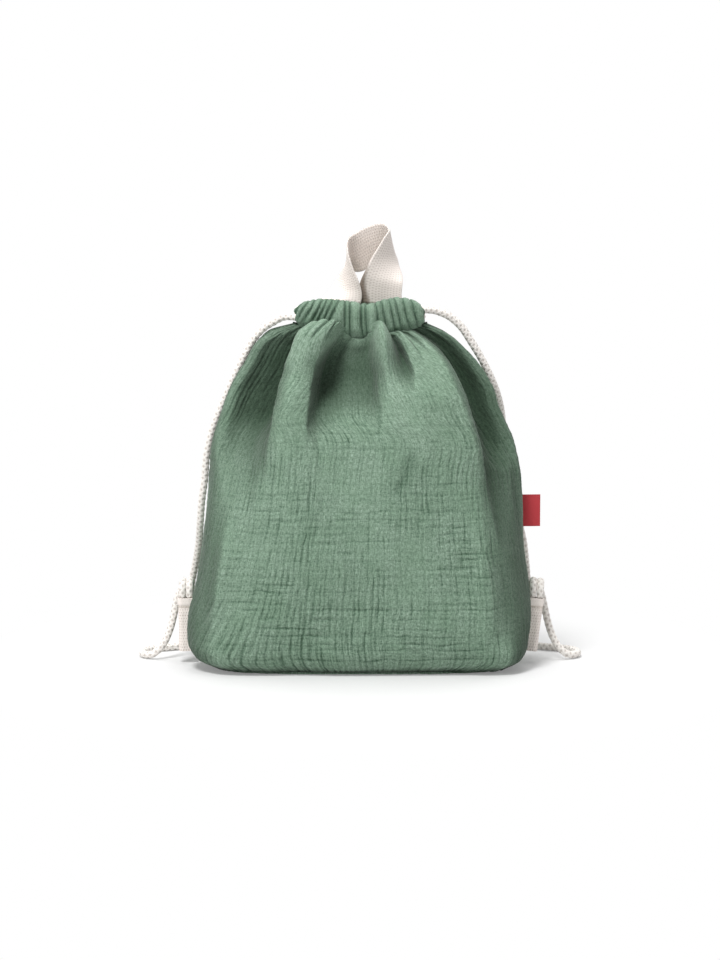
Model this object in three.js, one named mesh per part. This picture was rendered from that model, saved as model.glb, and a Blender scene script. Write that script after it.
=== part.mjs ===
// A small drawstring backpack of crinkled cotton gauze, standing on its base with its mouth drawn shut.
// Units are millimetres. +Z is up, -Y is the front, and the origin is the centre of the base on the floor.
import * as THREE from 'three';

// Body: the outline at the floor, at the widest place and at the seam under the cord casings
const BODY_WIDTH = 256;
const BODY_DEPTH = 120;
const SEAM_HEIGHT = 246;
const SHOULDER_RISE = 11;
const FLOOR_WIDTH = 218;
const FLOOR_DEPTH = 92;
const MOUTH_WIDTH = 100;
const MOUTH_DEPTH = 34;
const BODY_LEAN = 3.8;
const SEAM_TUCK = { left: 6.4, right: 4.2 };
const TUCK_HALF_WIDTH = 0.06;

// Cloth
const GAUZE_THICKNESS = 1.4;
const LINING_THICKNESS = 1.0;
const BASE_THICKNESS = 1.6;
const SEAM_GAP = 0.3;
const FOLD_DEPTH = 16;
const LINING_ROOM = 1.4;
const BASE_LINING_ROOM = 2.4;
const LINING_FOLD_ROOM = 16;
const LINING_TOP_DROP = 4;

// Drawcords and the casings that they run in, with heights above the seam
const CORD_DIAMETER = 5;
const CORD_CLEARANCE = 0.6;
const CORD_SIDES = 8;
const CORD_RISE = 18.6;
const CASING_INSET = 4;
const CASING_TIP = 1;
const CASING_END_ANGLE = THREE.MathUtils.degToRad(40);
const CASING_WALL = 1.3;
const RUFFLE_RISE = 32;
const RUFFLE_THICKNESS = 2.8;
const HANDLE_DIP = 6.4;
const CASING_FOOT_THICKNESS = 5.2;
const PLEATS = 11;
const PLEAT_OUTWARD = 3;
const PLEAT_INWARD = 1.4;

// Corner tabs that the cord ends are sewn into
const TAB_BOTTOM = 9;
const TAB_TOP = 49.5;
const TAB_PLACE = { left: 131.2, right: 132.6 };
const TAB_LEAN = { left: THREE.MathUtils.degToRad(1), right: THREE.MathUtils.degToRad(7) };
const TAB_WEBBING = 0.9;
const TAB_END_RECESS = 3;
const STITCH_THICKNESS = 0.6;
const TAB_STITCH_DROP = 7;

// Carry handle
const WEBBING_WIDTH = 30;
const WEBBING_THICKNESS = 1.6;
const HANDLE_SEGMENTS = 34;
const FOOT_ROUNDING = [40, 75];

// Side label
const LABEL_LENGTH = 14;
const LABEL_HEIGHT = 24;
const LABEL_THICKNESS = 1;
const LABEL_BOTTOM = 104;

// Fineness of the solids
const PANEL_COLUMNS = 30;
const PANEL_ROWS = 16;
const ROW_BUNCHING = 0.7;
const LINING_COLUMNS = 14;
const LINING_ROWS = 8;
const PLEAT_STEPS = 3;
const CORD_STEP = 12.5;
const RUN_STEP = 6.5;
const OUTLINE_SAMPLES = 160;

const cordRadius = CORD_DIAMETER / 2;
const cordSpacing = CORD_DIAMETER + SEAM_GAP;

// Rows: height share, width and depth shares from mouth to belly, squareness, sideways lean share
const BODY_PROFILE = [
  [0, null, null, 4.0, 0],
  [0.03, 0.92, 0.86, 3.9, -0.3],
  [0.075, 0.985, 0.955, 3.8, -0.5],
  [0.15, 1, 1, 3.6, -0.2],
  [0.25, 0.96, 1, 3.4, 0.3],
  [0.38, 0.895, 1, 3.2, 0.45],
  [0.5, 0.865, 0.99, 3.0, 0.9],
  [0.6, 0.838, 0.945, 2.9, 1],
  [0.66, 0.81, 0.91, 2.9, 0.85],
  [0.755, 0.705, 0.8, 2.7, 0.65],
  [0.835, 0.565, 0.645, 2.6, 0.4],
  [0.895, 0.435, 0.49, 2.5, 0.2],
  [0.945, 0.31, 0.33, 2.4, -0.6],
  [0.98, 0.18, 0.15, 2.3, -0.9],
  [1, 0, 0, 2.3, 0],
];

// Each fold: rows of height share, place from seam (-1) to seam (1), depth share (out is positive), half width share
const FRONT_FOLDS = [
  [[0.45, -0.41, 0, 0.12], [0.62, -0.39, 0.3, 0.1], [0.78, -0.39, 0.55, 0.1], [0.9, -0.38, 0.6, 0.11],
    [0.955, -0.3, 0.45, 0.12], [1, -0.17, 0, 0.14]],
  [[0.68, -0.2, 0, 0.07], [0.8, -0.18, -0.45, 0.07], [0.9, -0.15, -0.75, 0.08], [0.96, -0.13, -0.65, 0.09],
    [1, -0.1, 0, 0.09]],
  [[0.36, -0.56, 0, 0.12], [0.5, -0.55, -0.35, 0.11], [0.66, -0.55, -0.65, 0.11], [0.81, -0.58, -0.85, 0.11],
    [0.91, -0.65, -0.8, 0.12], [1, -0.8, 0, 0.12]],
  [[0.66, 0.03, 0, 0.1], [0.8, 0.03, -0.35, 0.1], [0.9, 0.03, -0.3, 0.1], [1, 0.03, 0, 0.1]],
  [[0.64, 0.15, 0, 0.05], [0.8, 0.16, 0.3, 0.05], [0.93, 0.2, 0.45, 0.06], [1, 0.29, 0, 0.08]],
  [[0.89, 0.34, 0, 0.05], [0.95, 0.34, -0.45, 0.05], [1, 0.4, 0, 0.06]],
  [[0.32, 0.54, 0, 0.16], [0.5, 0.53, 0.22, 0.15], [0.66, 0.51, 0.4, 0.14], [0.8, 0.49, 0.6, 0.13],
    [0.93, 0.49, 0.5, 0.12], [1, 0.5, 0, 0.12]],
  [[0.36, 0.72, 0, 0.1], [0.5, 0.71, -0.5, 0.1], [0.64, 0.7, -0.85, 0.1], [0.8, 0.7, -1, 0.1],
    [0.92, 0.71, -0.75, 0.1], [1, 0.88, 0, 0.1]],
];
const BACK_FOLDS = [
  [[0.42, -0.66, 0, 0.13], [0.62, -0.64, -0.55, 0.11], [0.8, -0.62, -0.85, 0.1], [0.92, -0.64, -0.6, 0.11],
    [1, -0.8, 0, 0.12]],
  [[0.4, -0.42, 0, 0.15], [0.6, -0.4, 0.35, 0.13], [0.8, -0.36, 0.55, 0.12], [0.93, -0.34, 0.5, 0.12],
    [1, -0.36, 0, 0.12]],
  [[0.6, -0.14, 0, 0.08], [0.78, -0.13, -0.5, 0.08], [0.92, -0.12, -0.6, 0.09], [1, -0.1, 0, 0.1]],
  [[0.5, 0.07, 0, 0.12], [0.7, 0.06, 0.3, 0.1], [0.9, 0.06, 0.5, 0.1], [1, 0.08, 0, 0.1]],
  [[0.55, 0.22, 0, 0.08], [0.75, 0.21, -0.45, 0.08], [0.91, 0.2, -0.6, 0.08], [1, 0.24, 0, 0.1]],
  [[0.42, 0.4, 0, 0.14], [0.62, 0.38, 0.3, 0.12], [0.8, 0.35, 0.5, 0.11], [0.93, 0.34, 0.45, 0.11], [1, 0.36, 0, 0.12]],
  [[0.45, 0.66, 0, 0.13], [0.65, 0.63, -0.5, 0.11], [0.82, 0.6, -0.8, 0.1], [0.93, 0.62, -0.6, 0.11],
    [1, 0.8, 0, 0.12]],
];

// The top edge of the ruffle: rows of place from end (-1) to end (1), and the drop from its highest point
const RUFFLE_EDGE = {
  front: [[-1, 7.5], [-0.93, 4], [-0.75, 1.6], [-0.5, 1], [-0.2, 2.5], [0.12, 5.5], [0.35, 2], [0.6, 0], [0.8, 1],
    [0.94, 4], [1, 7.5]],
  back: [[-1, 8], [-0.88, 5], [-0.74, HANDLE_DIP], [0.76, HANDLE_DIP], [0.89, 4.6], [1, 8]],
};

// The carry handle's two edges, from its left foot round to its right foot: inner edge, then outer edge.
// Places are from the middle of the handle's foot line.
const HANDLE_STATIONS = [
  [[-0.1, 0, 0], [-30.1, 0, 0]],
  [[-0.6, -1, 9], [-24.5, 15, 4.5]],
  [[-2.3, -3, 17], [-20, 20.5, 10.5]],
  [[-5.7, -4, 26], [-15.8, 23, 17]],
  [[-8.8, -3, 35.5], [-11, 24, 22.5]],
  [[-9.7, 2.5, 41.9], [-7, 24.5, 22]],
  [[-8.2, 11, 46.5], [-3.5, 24, 19.8]],
  [[-3.5, 17.5, 49.8], [2.2, 23.5, 20.3]],
  [[3.5, 19.5, 53.5], [9, 24.5, 24]],
  [[11, 18, 55.8], [16, 26, 27.5]],
  [[18, 12.5, 56.2], [21.5, 27, 31]],
  [[21.8, 4, 52.6], [25.5, 25.5, 32.5]],
  [[18.2, -1.8, 47.5], [27.8, 21, 30]],
  [[13.2, -4.5, 39], [29.5, 15, 24]],
  [[7.2, -5, 29], [31.8, 7.5, 17.5]],
  [[2.9, -4.5, 19.5], [32.2, 2, 12.5]],
  [[1.3, -2, 9.5], [31.4, 0.5, 5.5]],
  [[1.3, 0, 0], [31.3, 0, 0]],
];

// Free cords, from the casing down to the corner tab, by points on their centre lines
const SIDE_CORD = {
  left: [
    [-56.5, -3.2, 261.9], [-64, -2, 258.2], [-71.6, -1, 253.3], [-78.8, 0, 245.6], [-86.6, 1, 232], [-95, 1.5, 214.5],
    [-103, 2, 196], [-110.5, 2, 177], [-115, 2, 158], [-116.6, 2.5, 140], [-119, 4, 123], [-120.6, 9, 105],
    [-122.4, 20, 88], [-125.4, 29, 71], [-129, 34, 54],
  ],
  right: [
    [54.8, -4, 266.8], [60.2, -2.4, 265], [66, -0.5, 262.2], [75, 2, 254.4], [82.6, 4, 243.2], [92.6, 6.5, 226.5],
    [101, 11, 208.5], [106.6, 24, 189], [109, 35, 168], [112.6, 38, 141], [116.2, 36.5, 119], [121, 30, 103],
    [124.4, 26, 88], [126.6, 30, 71], [128.4, 34, 54],
  ],
};
const SLACK_CORD_TOP = {
  left: [
    [-53.5, 7.6, 261.9], [-59.6, 8.2, 260.4], [-66, 5.4, 257.2], [-72.6, 5.6, 252.4], [-79.6, 6.8, 244.6],
    [-87, 9.2, 231], [-92.5, 16, 214], [-96, 27, 196], [-96.5, 39, 176], [-91.5, 49.5, 152], [-85.5, 56, 122],
  ],
  right: [
    [54, 7.6, 266.8], [60.5, 8.2, 265.2], [67, 6.6, 261.8], [75.6, 8.4, 253.9], [83.2, 10.4, 242.8],
    [92.6, 13.6, 226], [97.6, 21.5, 209], [99, 33, 190], [95.5, 45.5, 168], [91, 52.5, 142], [85.5, 57, 116],
  ],
};
// The lower stretches repeat on both sides, mirrored, so they are written for the right side
const SIDE_CORD_FOOT = [
  [130.6, 36, 40], [131.4, 35, 30.5], [131.7, 31, 23.6], [131.9, 25, 22.2], [131.9, 20, 26.4], [131.6, 18.2, 34],
  [131, 18, 44],
];
const SLACK_CORD_FOOT = [
  [82, 60, 90], [84, 61, 60], [86, 62.4, 30], [90, 66, 11], [99, 68, 3.2], [113, 63.5, 2.8], [128, 54.5, 2.8], [142, 46.5, 2.8],
  [154, 40.5, 2.8], [163, 33.5, 2.8], [166.2, 24.5, 2.8], [164, 15.5, 2.8], [157, 11, 4.2], [149.8, 12, 11],
  [144.6, 14.2, 22], [141.4, 16.4, 34], [138.8, 17.8, 46],
];
const HUMP_START = 2.3;
const HUMP_RADIUS = 9;

// Curves and tables
const mix = (a, b, share) => a + (b - a) * share;
const clamp01 = (v) => Math.min(1, Math.max(0, v));

// A smooth curve through rows of [place, value], which never overshoots between two rows
function curveThrough(places, values) {
  const slopes = places.slice(1).map((p, i) => (values[i + 1] - values[i]) / (p - places[i]));
  const tangents = places.map((_, i) => {
    const before = slopes[Math.max(0, i - 1)];
    const after = slopes[Math.min(slopes.length - 1, i)];
    return before * after <= 0 ? 0 : (2 * before * after) / (before + after);
  });
  return (place) => {
    const p = Math.min(places.at(-1), Math.max(places[0], place));
    const i = Math.min(slopes.length - 1, Math.max(0, places.findIndex((q) => q >= p) - 1));
    const span = places[i + 1] - places[i];
    const u = (p - places[i]) / span;
    return values[i] * (1 + 2 * u) * (1 - u) ** 2 + tangents[i] * span * u * (1 - u) ** 2
      + values[i + 1] * u * u * (3 - 2 * u) - tangents[i + 1] * span * u * u * (1 - u);
  };
}

const floorWidthShare = (FLOOR_WIDTH - MOUTH_WIDTH) / (BODY_WIDTH - MOUTH_WIDTH);
const floorDepthShare = (FLOOR_DEPTH - MOUTH_DEPTH) / (BODY_DEPTH - MOUTH_DEPTH);
const profileHeights = BODY_PROFILE.map((row) => row[0]);
const widthShare = curveThrough(profileHeights, BODY_PROFILE.map((row) => row[1] ?? floorWidthShare));
const depthShare = curveThrough(profileHeights, BODY_PROFILE.map((row) => row[2] ?? floorDepthShare));
const squareness = curveThrough(profileHeights, BODY_PROFILE.map((row) => row[3]));
const leanShare = curveThrough(profileHeights, BODY_PROFILE.map((row) => row[4]));

const foldCurves = (folds) => folds.map((rows) => {
  const heights = rows.map((row) => row[0]);
  return { from: heights[0], place: curveThrough(heights, rows.map((row) => row[1])),
    depth: curveThrough(heights, rows.map((row) => row[2])), width: curveThrough(heights, rows.map((row) => row[3])) };
});
const folds = { front: foldCurves(FRONT_FOLDS), back: foldCurves(BACK_FOLDS) };

// How far the seam climbs towards the sides, and the cloth below it with it
const shoulderShare = curveThrough([0, 0.3, 0.8, 1], [0, 0, 0.85, 1]);
const shoulderStart = curveThrough([0, 0.74, 0.97, 1], [0, 0, 1, 1]);
const shoulderLift = (place, height) => SHOULDER_RISE * shoulderShare(Math.abs(place)) * shoulderStart(height);

// How far the corner tabs draw the side seams in
const tuckShare = curveThrough([0, 0.05, 0.21, 0.36, 1], [0, 1, 1, 0, 0]);
function seamTuck(place, height) {
  const away = (1 - Math.abs(place)) / TUCK_HALF_WIDTH;
  return SEAM_TUCK[place < 0 ? 'left' : 'right'] * tuckShare(height) * Math.exp(-away * away);
}

// How far the folded cloth stands out from the plain outline
function foldOffset(side, place, height) {
  const edge = clamp01((1 - Math.abs(place)) / 0.1);
  const sum = folds[side].filter((fold) => height > fold.from).reduce((total, fold) => {
    const away = (place - fold.place(height)) / fold.width(height);
    return total + fold.depth(height) * Math.exp(-away * away);
  }, 0);
  return FOLD_DEPTH * sum * edge * edge * (3 - 2 * edge);
}

// Body surface
// Half an outline from the left seam, round the front or the back, to the right seam, by its length
function halfOutline(halfWidth, halfDepth, power) {
  const points = [];
  const lengths = [0];
  for (let i = 0; i <= OUTLINE_SAMPLES; i++) {
    const angle = Math.PI * (i / OUTLINE_SAMPLES - 0.5);
    const x = halfWidth * Math.sign(Math.sin(angle)) * Math.abs(Math.sin(angle)) ** (2 / power);
    const y = halfDepth * Math.max(0, Math.cos(angle)) ** (2 / power);
    if (i) lengths.push(lengths[i - 1] + Math.hypot(x - points[i - 1][0], y - points[i - 1][1]));
    points.push([x, y]);
  }
  const at = (share) => {
    const wanted = clamp01(share) * lengths.at(-1);
    const i = Math.max(1, lengths.findIndex((l) => l >= wanted - 1e-9));
    const u = (wanted - lengths[i - 1]) / (lengths[i] - lengths[i - 1]);
    return [mix(points[i - 1][0], points[i][0], u), mix(points[i - 1][1], points[i][1], u)];
  };
  return { length: lengths.at(-1), at };
}

// A surface that follows the body: room shrinks it, and foldScale 0 leaves its folds out
function bodySurface(side, room, foldScale) {
  const outlines = new Map();
  const outward = side === 'front' ? -1 : 1;
  const outlineAt = (height) => {
    if (!outlines.has(height)) {
      outlines.set(height, halfOutline(mix(MOUTH_WIDTH, BODY_WIDTH, widthShare(height)) / 2 - room(height),
        mix(MOUTH_DEPTH, BODY_DEPTH, depthShare(height)) / 2 - room(height), squareness(height)));
    }
    return outlines.get(height);
  };
  const point = (place, height, bottom, top) => {
    const outline = outlineAt(height);
    const [x, y] = outline.at((place + 1) / 2);
    const [x0, y0] = outline.at((place + 1) / 2 - 0.004);
    const [x1, y1] = outline.at((place + 1) / 2 + 0.004);
    const along = new THREE.Vector2(x1 - x0, y1 - y0).normalize();
    const offset = foldScale ? foldOffset(side, place, height) * foldScale : 0;
    const tucked = x - Math.sign(place) * seamTuck(place, height);
    return new THREE.Vector3(tucked + BODY_LEAN * leanShare(height) - along.y * offset,
      outward * (y + along.x * offset), mix(bottom, top, height) + shoulderLift(place, height));
  };
  return { outlineAt, point };
}

// Two grids of points, one on each face of a sheet, closed round their four edges
function sheetSolid(outer, inner) {
  const rows = outer.length;
  const columns = outer[0].length;
  const points = [...outer.flat(), ...inner.flat()];
  const faces = [];
  const quad = (a, b, c, d) => faces.push([a, b, c], [a, c, d]);
  const o = (r, c) => r * columns + c;
  const n = (r, c) => rows * columns + r * columns + c;
  for (let r = 0; r < rows - 1; r++) {
    for (let c = 0; c < columns - 1; c++) {
      quad(o(r, c), o(r, c + 1), o(r + 1, c + 1), o(r + 1, c));
      quad(n(r, c), n(r + 1, c), n(r + 1, c + 1), n(r, c + 1));
    }
    quad(o(r, 0), o(r + 1, 0), n(r + 1, 0), n(r, 0));
    quad(o(r, columns - 1), n(r, columns - 1), n(r + 1, columns - 1), o(r + 1, columns - 1));
  }
  for (let c = 0; c < columns - 1; c++) {
    quad(o(0, c), n(0, c), n(0, c + 1), o(0, c + 1));
    quad(o(rows - 1, c), o(rows - 1, c + 1), n(rows - 1, c + 1), n(rows - 1, c));
  }
  return closedGeometry(points, faces);
}

// A closed geometry with its faces pointing out
function closedGeometry(points, faces) {
  const volume = faces.reduce((sum, [a, b, c]) => sum
    + points[a].dot(new THREE.Vector3().crossVectors(points[b], points[c])), 0);
  const geometry = new THREE.BufferGeometry().setFromPoints(points);
  geometry.setIndex(faces.flatMap(([a, b, c]) => (volume < 0 ? [a, c, b] : [a, b, c])));
  return geometry;
}

// A wall of the bag, whose highest row lies at the share called reach of the way from bottom to top
function wallSolid(side, { room, foldScale, thickness, bottom, top, reach, columns, rows }) {
  const surface = bodySurface(side, room, foldScale);
  const step = 0.003;
  const outer = [];
  const inner = [];
  for (let r = 0; r <= rows; r++) {
    const height = reach * (r / rows - ROW_BUNCHING * Math.sin(2 * Math.PI * r / rows) / (2 * Math.PI));
    const limit = 1 - SEAM_GAP / surface.outlineAt(height).length;
    const at = (place, h) => surface.point(place, h, bottom, top);
    outer.push([]);
    inner.push([]);
    for (let c = 0; c <= columns; c++) {
      const place = mix(-limit, limit, c / columns);
      const here = at(place, height);
      const across = at(Math.min(1, place + step), height).sub(at(Math.max(-1, place - step), height));
      const up = at(place, Math.min(1, height + step)).sub(at(place, Math.max(0, height - step)));
      const normal = new THREE.Vector3().crossVectors(across, up).normalize();
      if (side === 'back') normal.negate();
      if (c === 0 || c === columns) normal.setY(0).normalize();
      outer[r].push(here);
      inner[r].push(here.clone().addScaledVector(normal, -thickness));
    }
  }
  return sheetSolid(outer, inner);
}

const panelBottom = BASE_THICKNESS + SEAM_GAP;
function outerPanel(side) {
  return wallSolid(side, { room: () => 0, foldScale: 1, thickness: GAUZE_THICKNESS, bottom: panelBottom,
    top: SEAM_HEIGHT, reach: 1, columns: PANEL_COLUMNS, rows: PANEL_ROWS });
}

const foldRoom = curveThrough([0, 0.3, 0.6, 0.8, 0.93, 0.975, 1], [0, 0, 0.7, 1, 1, 0.5, 0.15]);
function lining(side) {
  const room = (height) => GAUZE_THICKNESS + LINING_ROOM + LINING_FOLD_ROOM * foldRoom(height);
  const bottom = panelBottom + LINING_THICKNESS + SEAM_GAP;
  return wallSolid(side, { room, foldScale: 0, thickness: LINING_THICKNESS, bottom, top: SEAM_HEIGHT,
    reach: 1 - LINING_TOP_DROP / (SEAM_HEIGHT - bottom), columns: LINING_COLUMNS, rows: LINING_ROWS });
}

// A flat plate with the body's outline at the floor, shrunk by room
function basePlate(room, bottom, thickness) {
  const outline = halfOutline(FLOOR_WIDTH / 2 - room, FLOOR_DEPTH / 2 - room, BODY_PROFILE[0][3]);
  const shape = new THREE.Shape();
  const columns = LINING_COLUMNS;
  for (let i = 0; i < 2 * columns; i++) {
    const share = i < columns ? i / columns : 2 - i / columns;
    const [x, y] = outline.at(share);
    const place = [x, i < columns ? -y : y];
    if (i) shape.lineTo(...place);
    else shape.moveTo(...place);
  }
  return new THREE.ExtrudeGeometry(shape, { depth: thickness, bevelEnabled: false, steps: 1 })
    .translate(0, 0, bottom);
}

// Cord casings
const turnRadius = MOUTH_DEPTH / 2 - CASING_INSET;
const halfStraight = MOUTH_WIDTH / 2 - turnRadius - CASING_TIP;
const casingHalfLength = halfStraight + turnRadius * CASING_END_ANGLE;
const halfSeam = halfOutline(MOUTH_WIDTH / 2, MOUTH_DEPTH / 2, BODY_PROFILE.at(-1)[3]).length / 2;
const seamLift = (distance) => SHOULDER_RISE * shoulderShare(Math.abs(distance) / halfSeam);
const casingBottom = (distance) => SEAM_HEIGHT + SEAM_GAP + seamLift(distance);
const cordHeight = SEAM_HEIGHT + CORD_RISE;
const ruffleTop = SEAM_HEIGHT + RUFFLE_RISE;
const ruffleDrop = {};
for (const [side, rows] of Object.entries(RUFFLE_EDGE)) {
  ruffleDrop[side] = curveThrough(rows.map((row) => row[0]), rows.map((row) => row[1]));
}
const outwardOf = { front: -1, back: 1 };

// The line that a cord follows round the mouth, by distance from the middle of one side, and the ways out and along
function mouthLine(side, distance) {
  const outward = outwardOf[side];
  const end = Math.sign(distance);
  const turn = Math.max(0, (Math.abs(distance) - halfStraight) / turnRadius);
  const straight = Math.min(halfStraight, Math.abs(distance));
  const out = [end * Math.sin(turn), outward * Math.cos(turn)];
  return { place: [end * straight + turnRadius * out[0], turnRadius * out[1]], out,
    along: [end * Math.cos(turn), -outward * Math.sin(turn)] };
}

// The casing's section at one place along it, as pairs of points: its pleated skin and the tunnel for both cords
function casingSection(bulge, bottom, top) {
  const tunnel = cordRadius + CORD_CLEARANCE;
  const skin = tunnel + CASING_WALL;
  const upper = cordHeight + cordSpacing / 2;
  const lower = cordHeight - cordSpacing / 2;
  const half = (way, pleat) => [
    [[way * CASING_FOOT_THICKNESS / 2, bottom], [way * tunnel / 2, lower - tunnel]],
    [[way * (skin + pleat * bulge / 2), lower - tunnel / 2], [way * tunnel, lower]],
    [[way * (skin + pleat * bulge), cordHeight], [way * tunnel, cordHeight]],
    [[way * (skin + pleat * bulge / 2), upper + tunnel], [way * tunnel, upper]],
    [[way * RUFFLE_THICKNESS / 2, top], [way * tunnel / 2, upper + tunnel]],
  ];
  return [...half(1, PLEAT_OUTWARD), ...half(-1, PLEAT_INWARD).reverse()];
}

function casingSolid(side) {
  const stations = PLEATS * PLEAT_STEPS;
  const loops = [];
  for (let i = 0; i <= stations; i++) {
    const share = mix(-1, 1, i / stations);
    const { place, out } = mouthLine(side, share * casingHalfLength);
    const bulge = Math.abs(Math.sin(Math.PI * i / PLEAT_STEPS)) ** 0.7;
    const section = casingSection(bulge, casingBottom(share * casingHalfLength), ruffleTop - ruffleDrop[side](share));
    loops.push([0, 1].map((layer) => section.map((pair) => {
      const [offset, z] = pair[layer];
      return new THREE.Vector3(place[0] + offset * out[0], place[1] + offset * out[1], z);
    })));
  }
  return tunnelSolid(loops);
}

// A tube with a wall: at each station a loop of skin points and a loop of tunnel points, with ring-shaped ends
function tunnelSolid(loops) {
  const count = loops[0][0].length;
  const points = loops.flat(2);
  const faces = [];
  const quad = (a, b, c, d) => faces.push([a, b, c], [a, c, d]);
  const at = (station, layer, k) => (station * 2 + layer) * count + (k % count);
  const last = loops.length - 1;
  for (let k = 0; k < count; k++) {
    for (let i = 0; i < last; i++) {
      quad(at(i, 0, k), at(i, 0, k + 1), at(i + 1, 0, k + 1), at(i + 1, 0, k));
      quad(at(i, 1, k), at(i + 1, 1, k), at(i + 1, 1, k + 1), at(i, 1, k + 1));
    }
    quad(at(0, 0, k), at(0, 1, k), at(0, 1, k + 1), at(0, 0, k + 1));
    quad(at(last, 0, k), at(last, 0, k + 1), at(last, 1, k + 1), at(last, 1, k));
  }
  return closedGeometry(points, faces);
}

// Cords
function cordSolid(points, step) {
  const section = new THREE.Shape();
  for (let i = 0; i < CORD_SIDES; i++) {
    const angle = (i / CORD_SIDES) * 2 * Math.PI;
    const place = [cordRadius * Math.cos(angle), cordRadius * Math.sin(angle)];
    if (i) section.lineTo(...place);
    else section.moveTo(...place);
  }
  const curve = new THREE.CatmullRomCurve3(points, false, 'centripetal');
  return new THREE.ExtrudeGeometry(section,
    { steps: Math.ceil(curve.getLength() / step), bevelEnabled: false, extrudePath: curve });
}

const hand = { left: -1, right: 1 };
const cordLevel = { left: cordHeight - cordSpacing / 2, right: cordHeight + cordSpacing / 2 };

// The held stretch of a cord: in at its own end of the mouth, round the far end, and out beside where it went in
function cordRun(name) {
  const far = halfStraight + turnRadius * Math.PI / 2;
  const stops = Math.round((far + casingHalfLength) / RUN_STEP);
  const start = CORD_CLEARANCE * 2 - casingHalfLength;
  const half = (side) => Array.from({ length: stops + 1 }, (_, i) => {
    const { place } = mouthLine(side, mix(start, far, i / stops));
    return new THREE.Vector3(-hand[name] * place[0], place[1], cordLevel[name]);
  });
  return cordSolid([...half('front'), ...half('back').reverse().slice(1)], RUN_STEP);
}

// Where a free cord leaves its casing
function casingExit(name, side) {
  const { place, along } = mouthLine(side, casingHalfLength);
  return [SEAM_GAP, CORD_DIAMETER].map((past) => new THREE.Vector3(
    hand[name] * (place[0] + along[0] * past), place[1] + along[1] * past, cordLevel[name]));
}

// A place above the mouth of a tab, on the line of its inner cord (-1) or its outer cord (1)
function aboveTab(name, way, rise, y) {
  const [sin, cos] = [Math.sin(TAB_LEAN[name]), Math.cos(TAB_LEAN[name])];
  const across = way * cordSpacing / 2;
  return new THREE.Vector3(hand[name] * (TAB_PLACE[name] + across * cos + rise * sin), y,
    TAB_TOP - across * sin + rise * cos);
}

// The cord's bend over the top of a tab and down to its mouth
function intoTab(name, way) {
  const bend = [30, 60, 90, 120, 150, 180].map((degrees) => {
    const angle = THREE.MathUtils.degToRad(degrees);
    return aboveTab(name, way, HUMP_START + HUMP_RADIUS * Math.sin(angle), HUMP_RADIUS * (1 + Math.cos(angle)));
  });
  return [...bend, aboveTab(name, way, SEAM_GAP, 0)];
}

const placed = (points, side = 1) => points.map(([x, y, z]) => new THREE.Vector3(side * x, y, z));

function sideCord(name) {
  return cordSolid([...casingExit(name, 'front'), ...placed(SIDE_CORD[name]), ...placed(SIDE_CORD_FOOT, hand[name]),
    ...intoTab(name, -1)], CORD_STEP);
}

function slackCord(name) {
  return cordSolid([...casingExit(name, 'back'), ...placed(SLACK_CORD_TOP[name]),
    ...placed(SLACK_CORD_FOOT, hand[name]), ...intoTab(name, 1)], CORD_STEP);
}

// Corner tabs
const tabHalfDepth = cordRadius + SEAM_GAP + TAB_WEBBING;
const tabHalfWidth = tabHalfDepth + cordSpacing / 2;

function roundedSlot(path, halfWidth, halfDepth) {
  const straight = halfWidth - halfDepth;
  path.moveTo(-straight, -halfDepth);
  path.lineTo(straight, -halfDepth);
  path.absarc(straight, 0, halfDepth, -Math.PI / 2, Math.PI / 2);
  path.lineTo(-straight, halfDepth);
  path.absarc(-straight, 0, halfDepth, Math.PI / 2, 1.5 * Math.PI);
  return path;
}

// A flat ring round both cords, standing out from the tab's webbing by room
function tabRing(room, wall, bottom, height) {
  const shape = roundedSlot(new THREE.Shape(), tabHalfWidth + room, tabHalfDepth + room);
  shape.holes.push(roundedSlot(new THREE.Path(), tabHalfWidth + room - wall, tabHalfDepth + room - wall));
  return new THREE.ExtrudeGeometry(shape, { depth: height, bevelEnabled: false, curveSegments: 5, steps: 1 })
    .translate(0, 0, bottom);
}

function tabCordEnd(way) {
  const length = TAB_TOP - TAB_BOTTOM - TAB_END_RECESS;
  return new THREE.CylinderGeometry(cordRadius, cordRadius, length, CORD_SIDES)
    .rotateX(Math.PI / 2).translate(way * cordSpacing / 2, 0, -length / 2);
}

// Carry handle
const handleFoot = [0, turnRadius, ruffleTop - HANDLE_DIP + SEAM_GAP + WEBBING_THICKNESS / 2];

// The middle of the webbing and the direction across it, at a share of the way round the handle
const handleEdges = [0, 1].map((edge) => new THREE.CatmullRomCurve3(
  HANDLE_STATIONS.map((station) => new THREE.Vector3(...station[edge])), false, 'centripetal'));
function handleFrame(share) {
  const [inner, outer] = handleEdges.map((edge) => edge.getPoint(share));
  return { centre: inner.clone().lerp(outer, 0.5), across: outer.sub(inner).normalize() };
}

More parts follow.
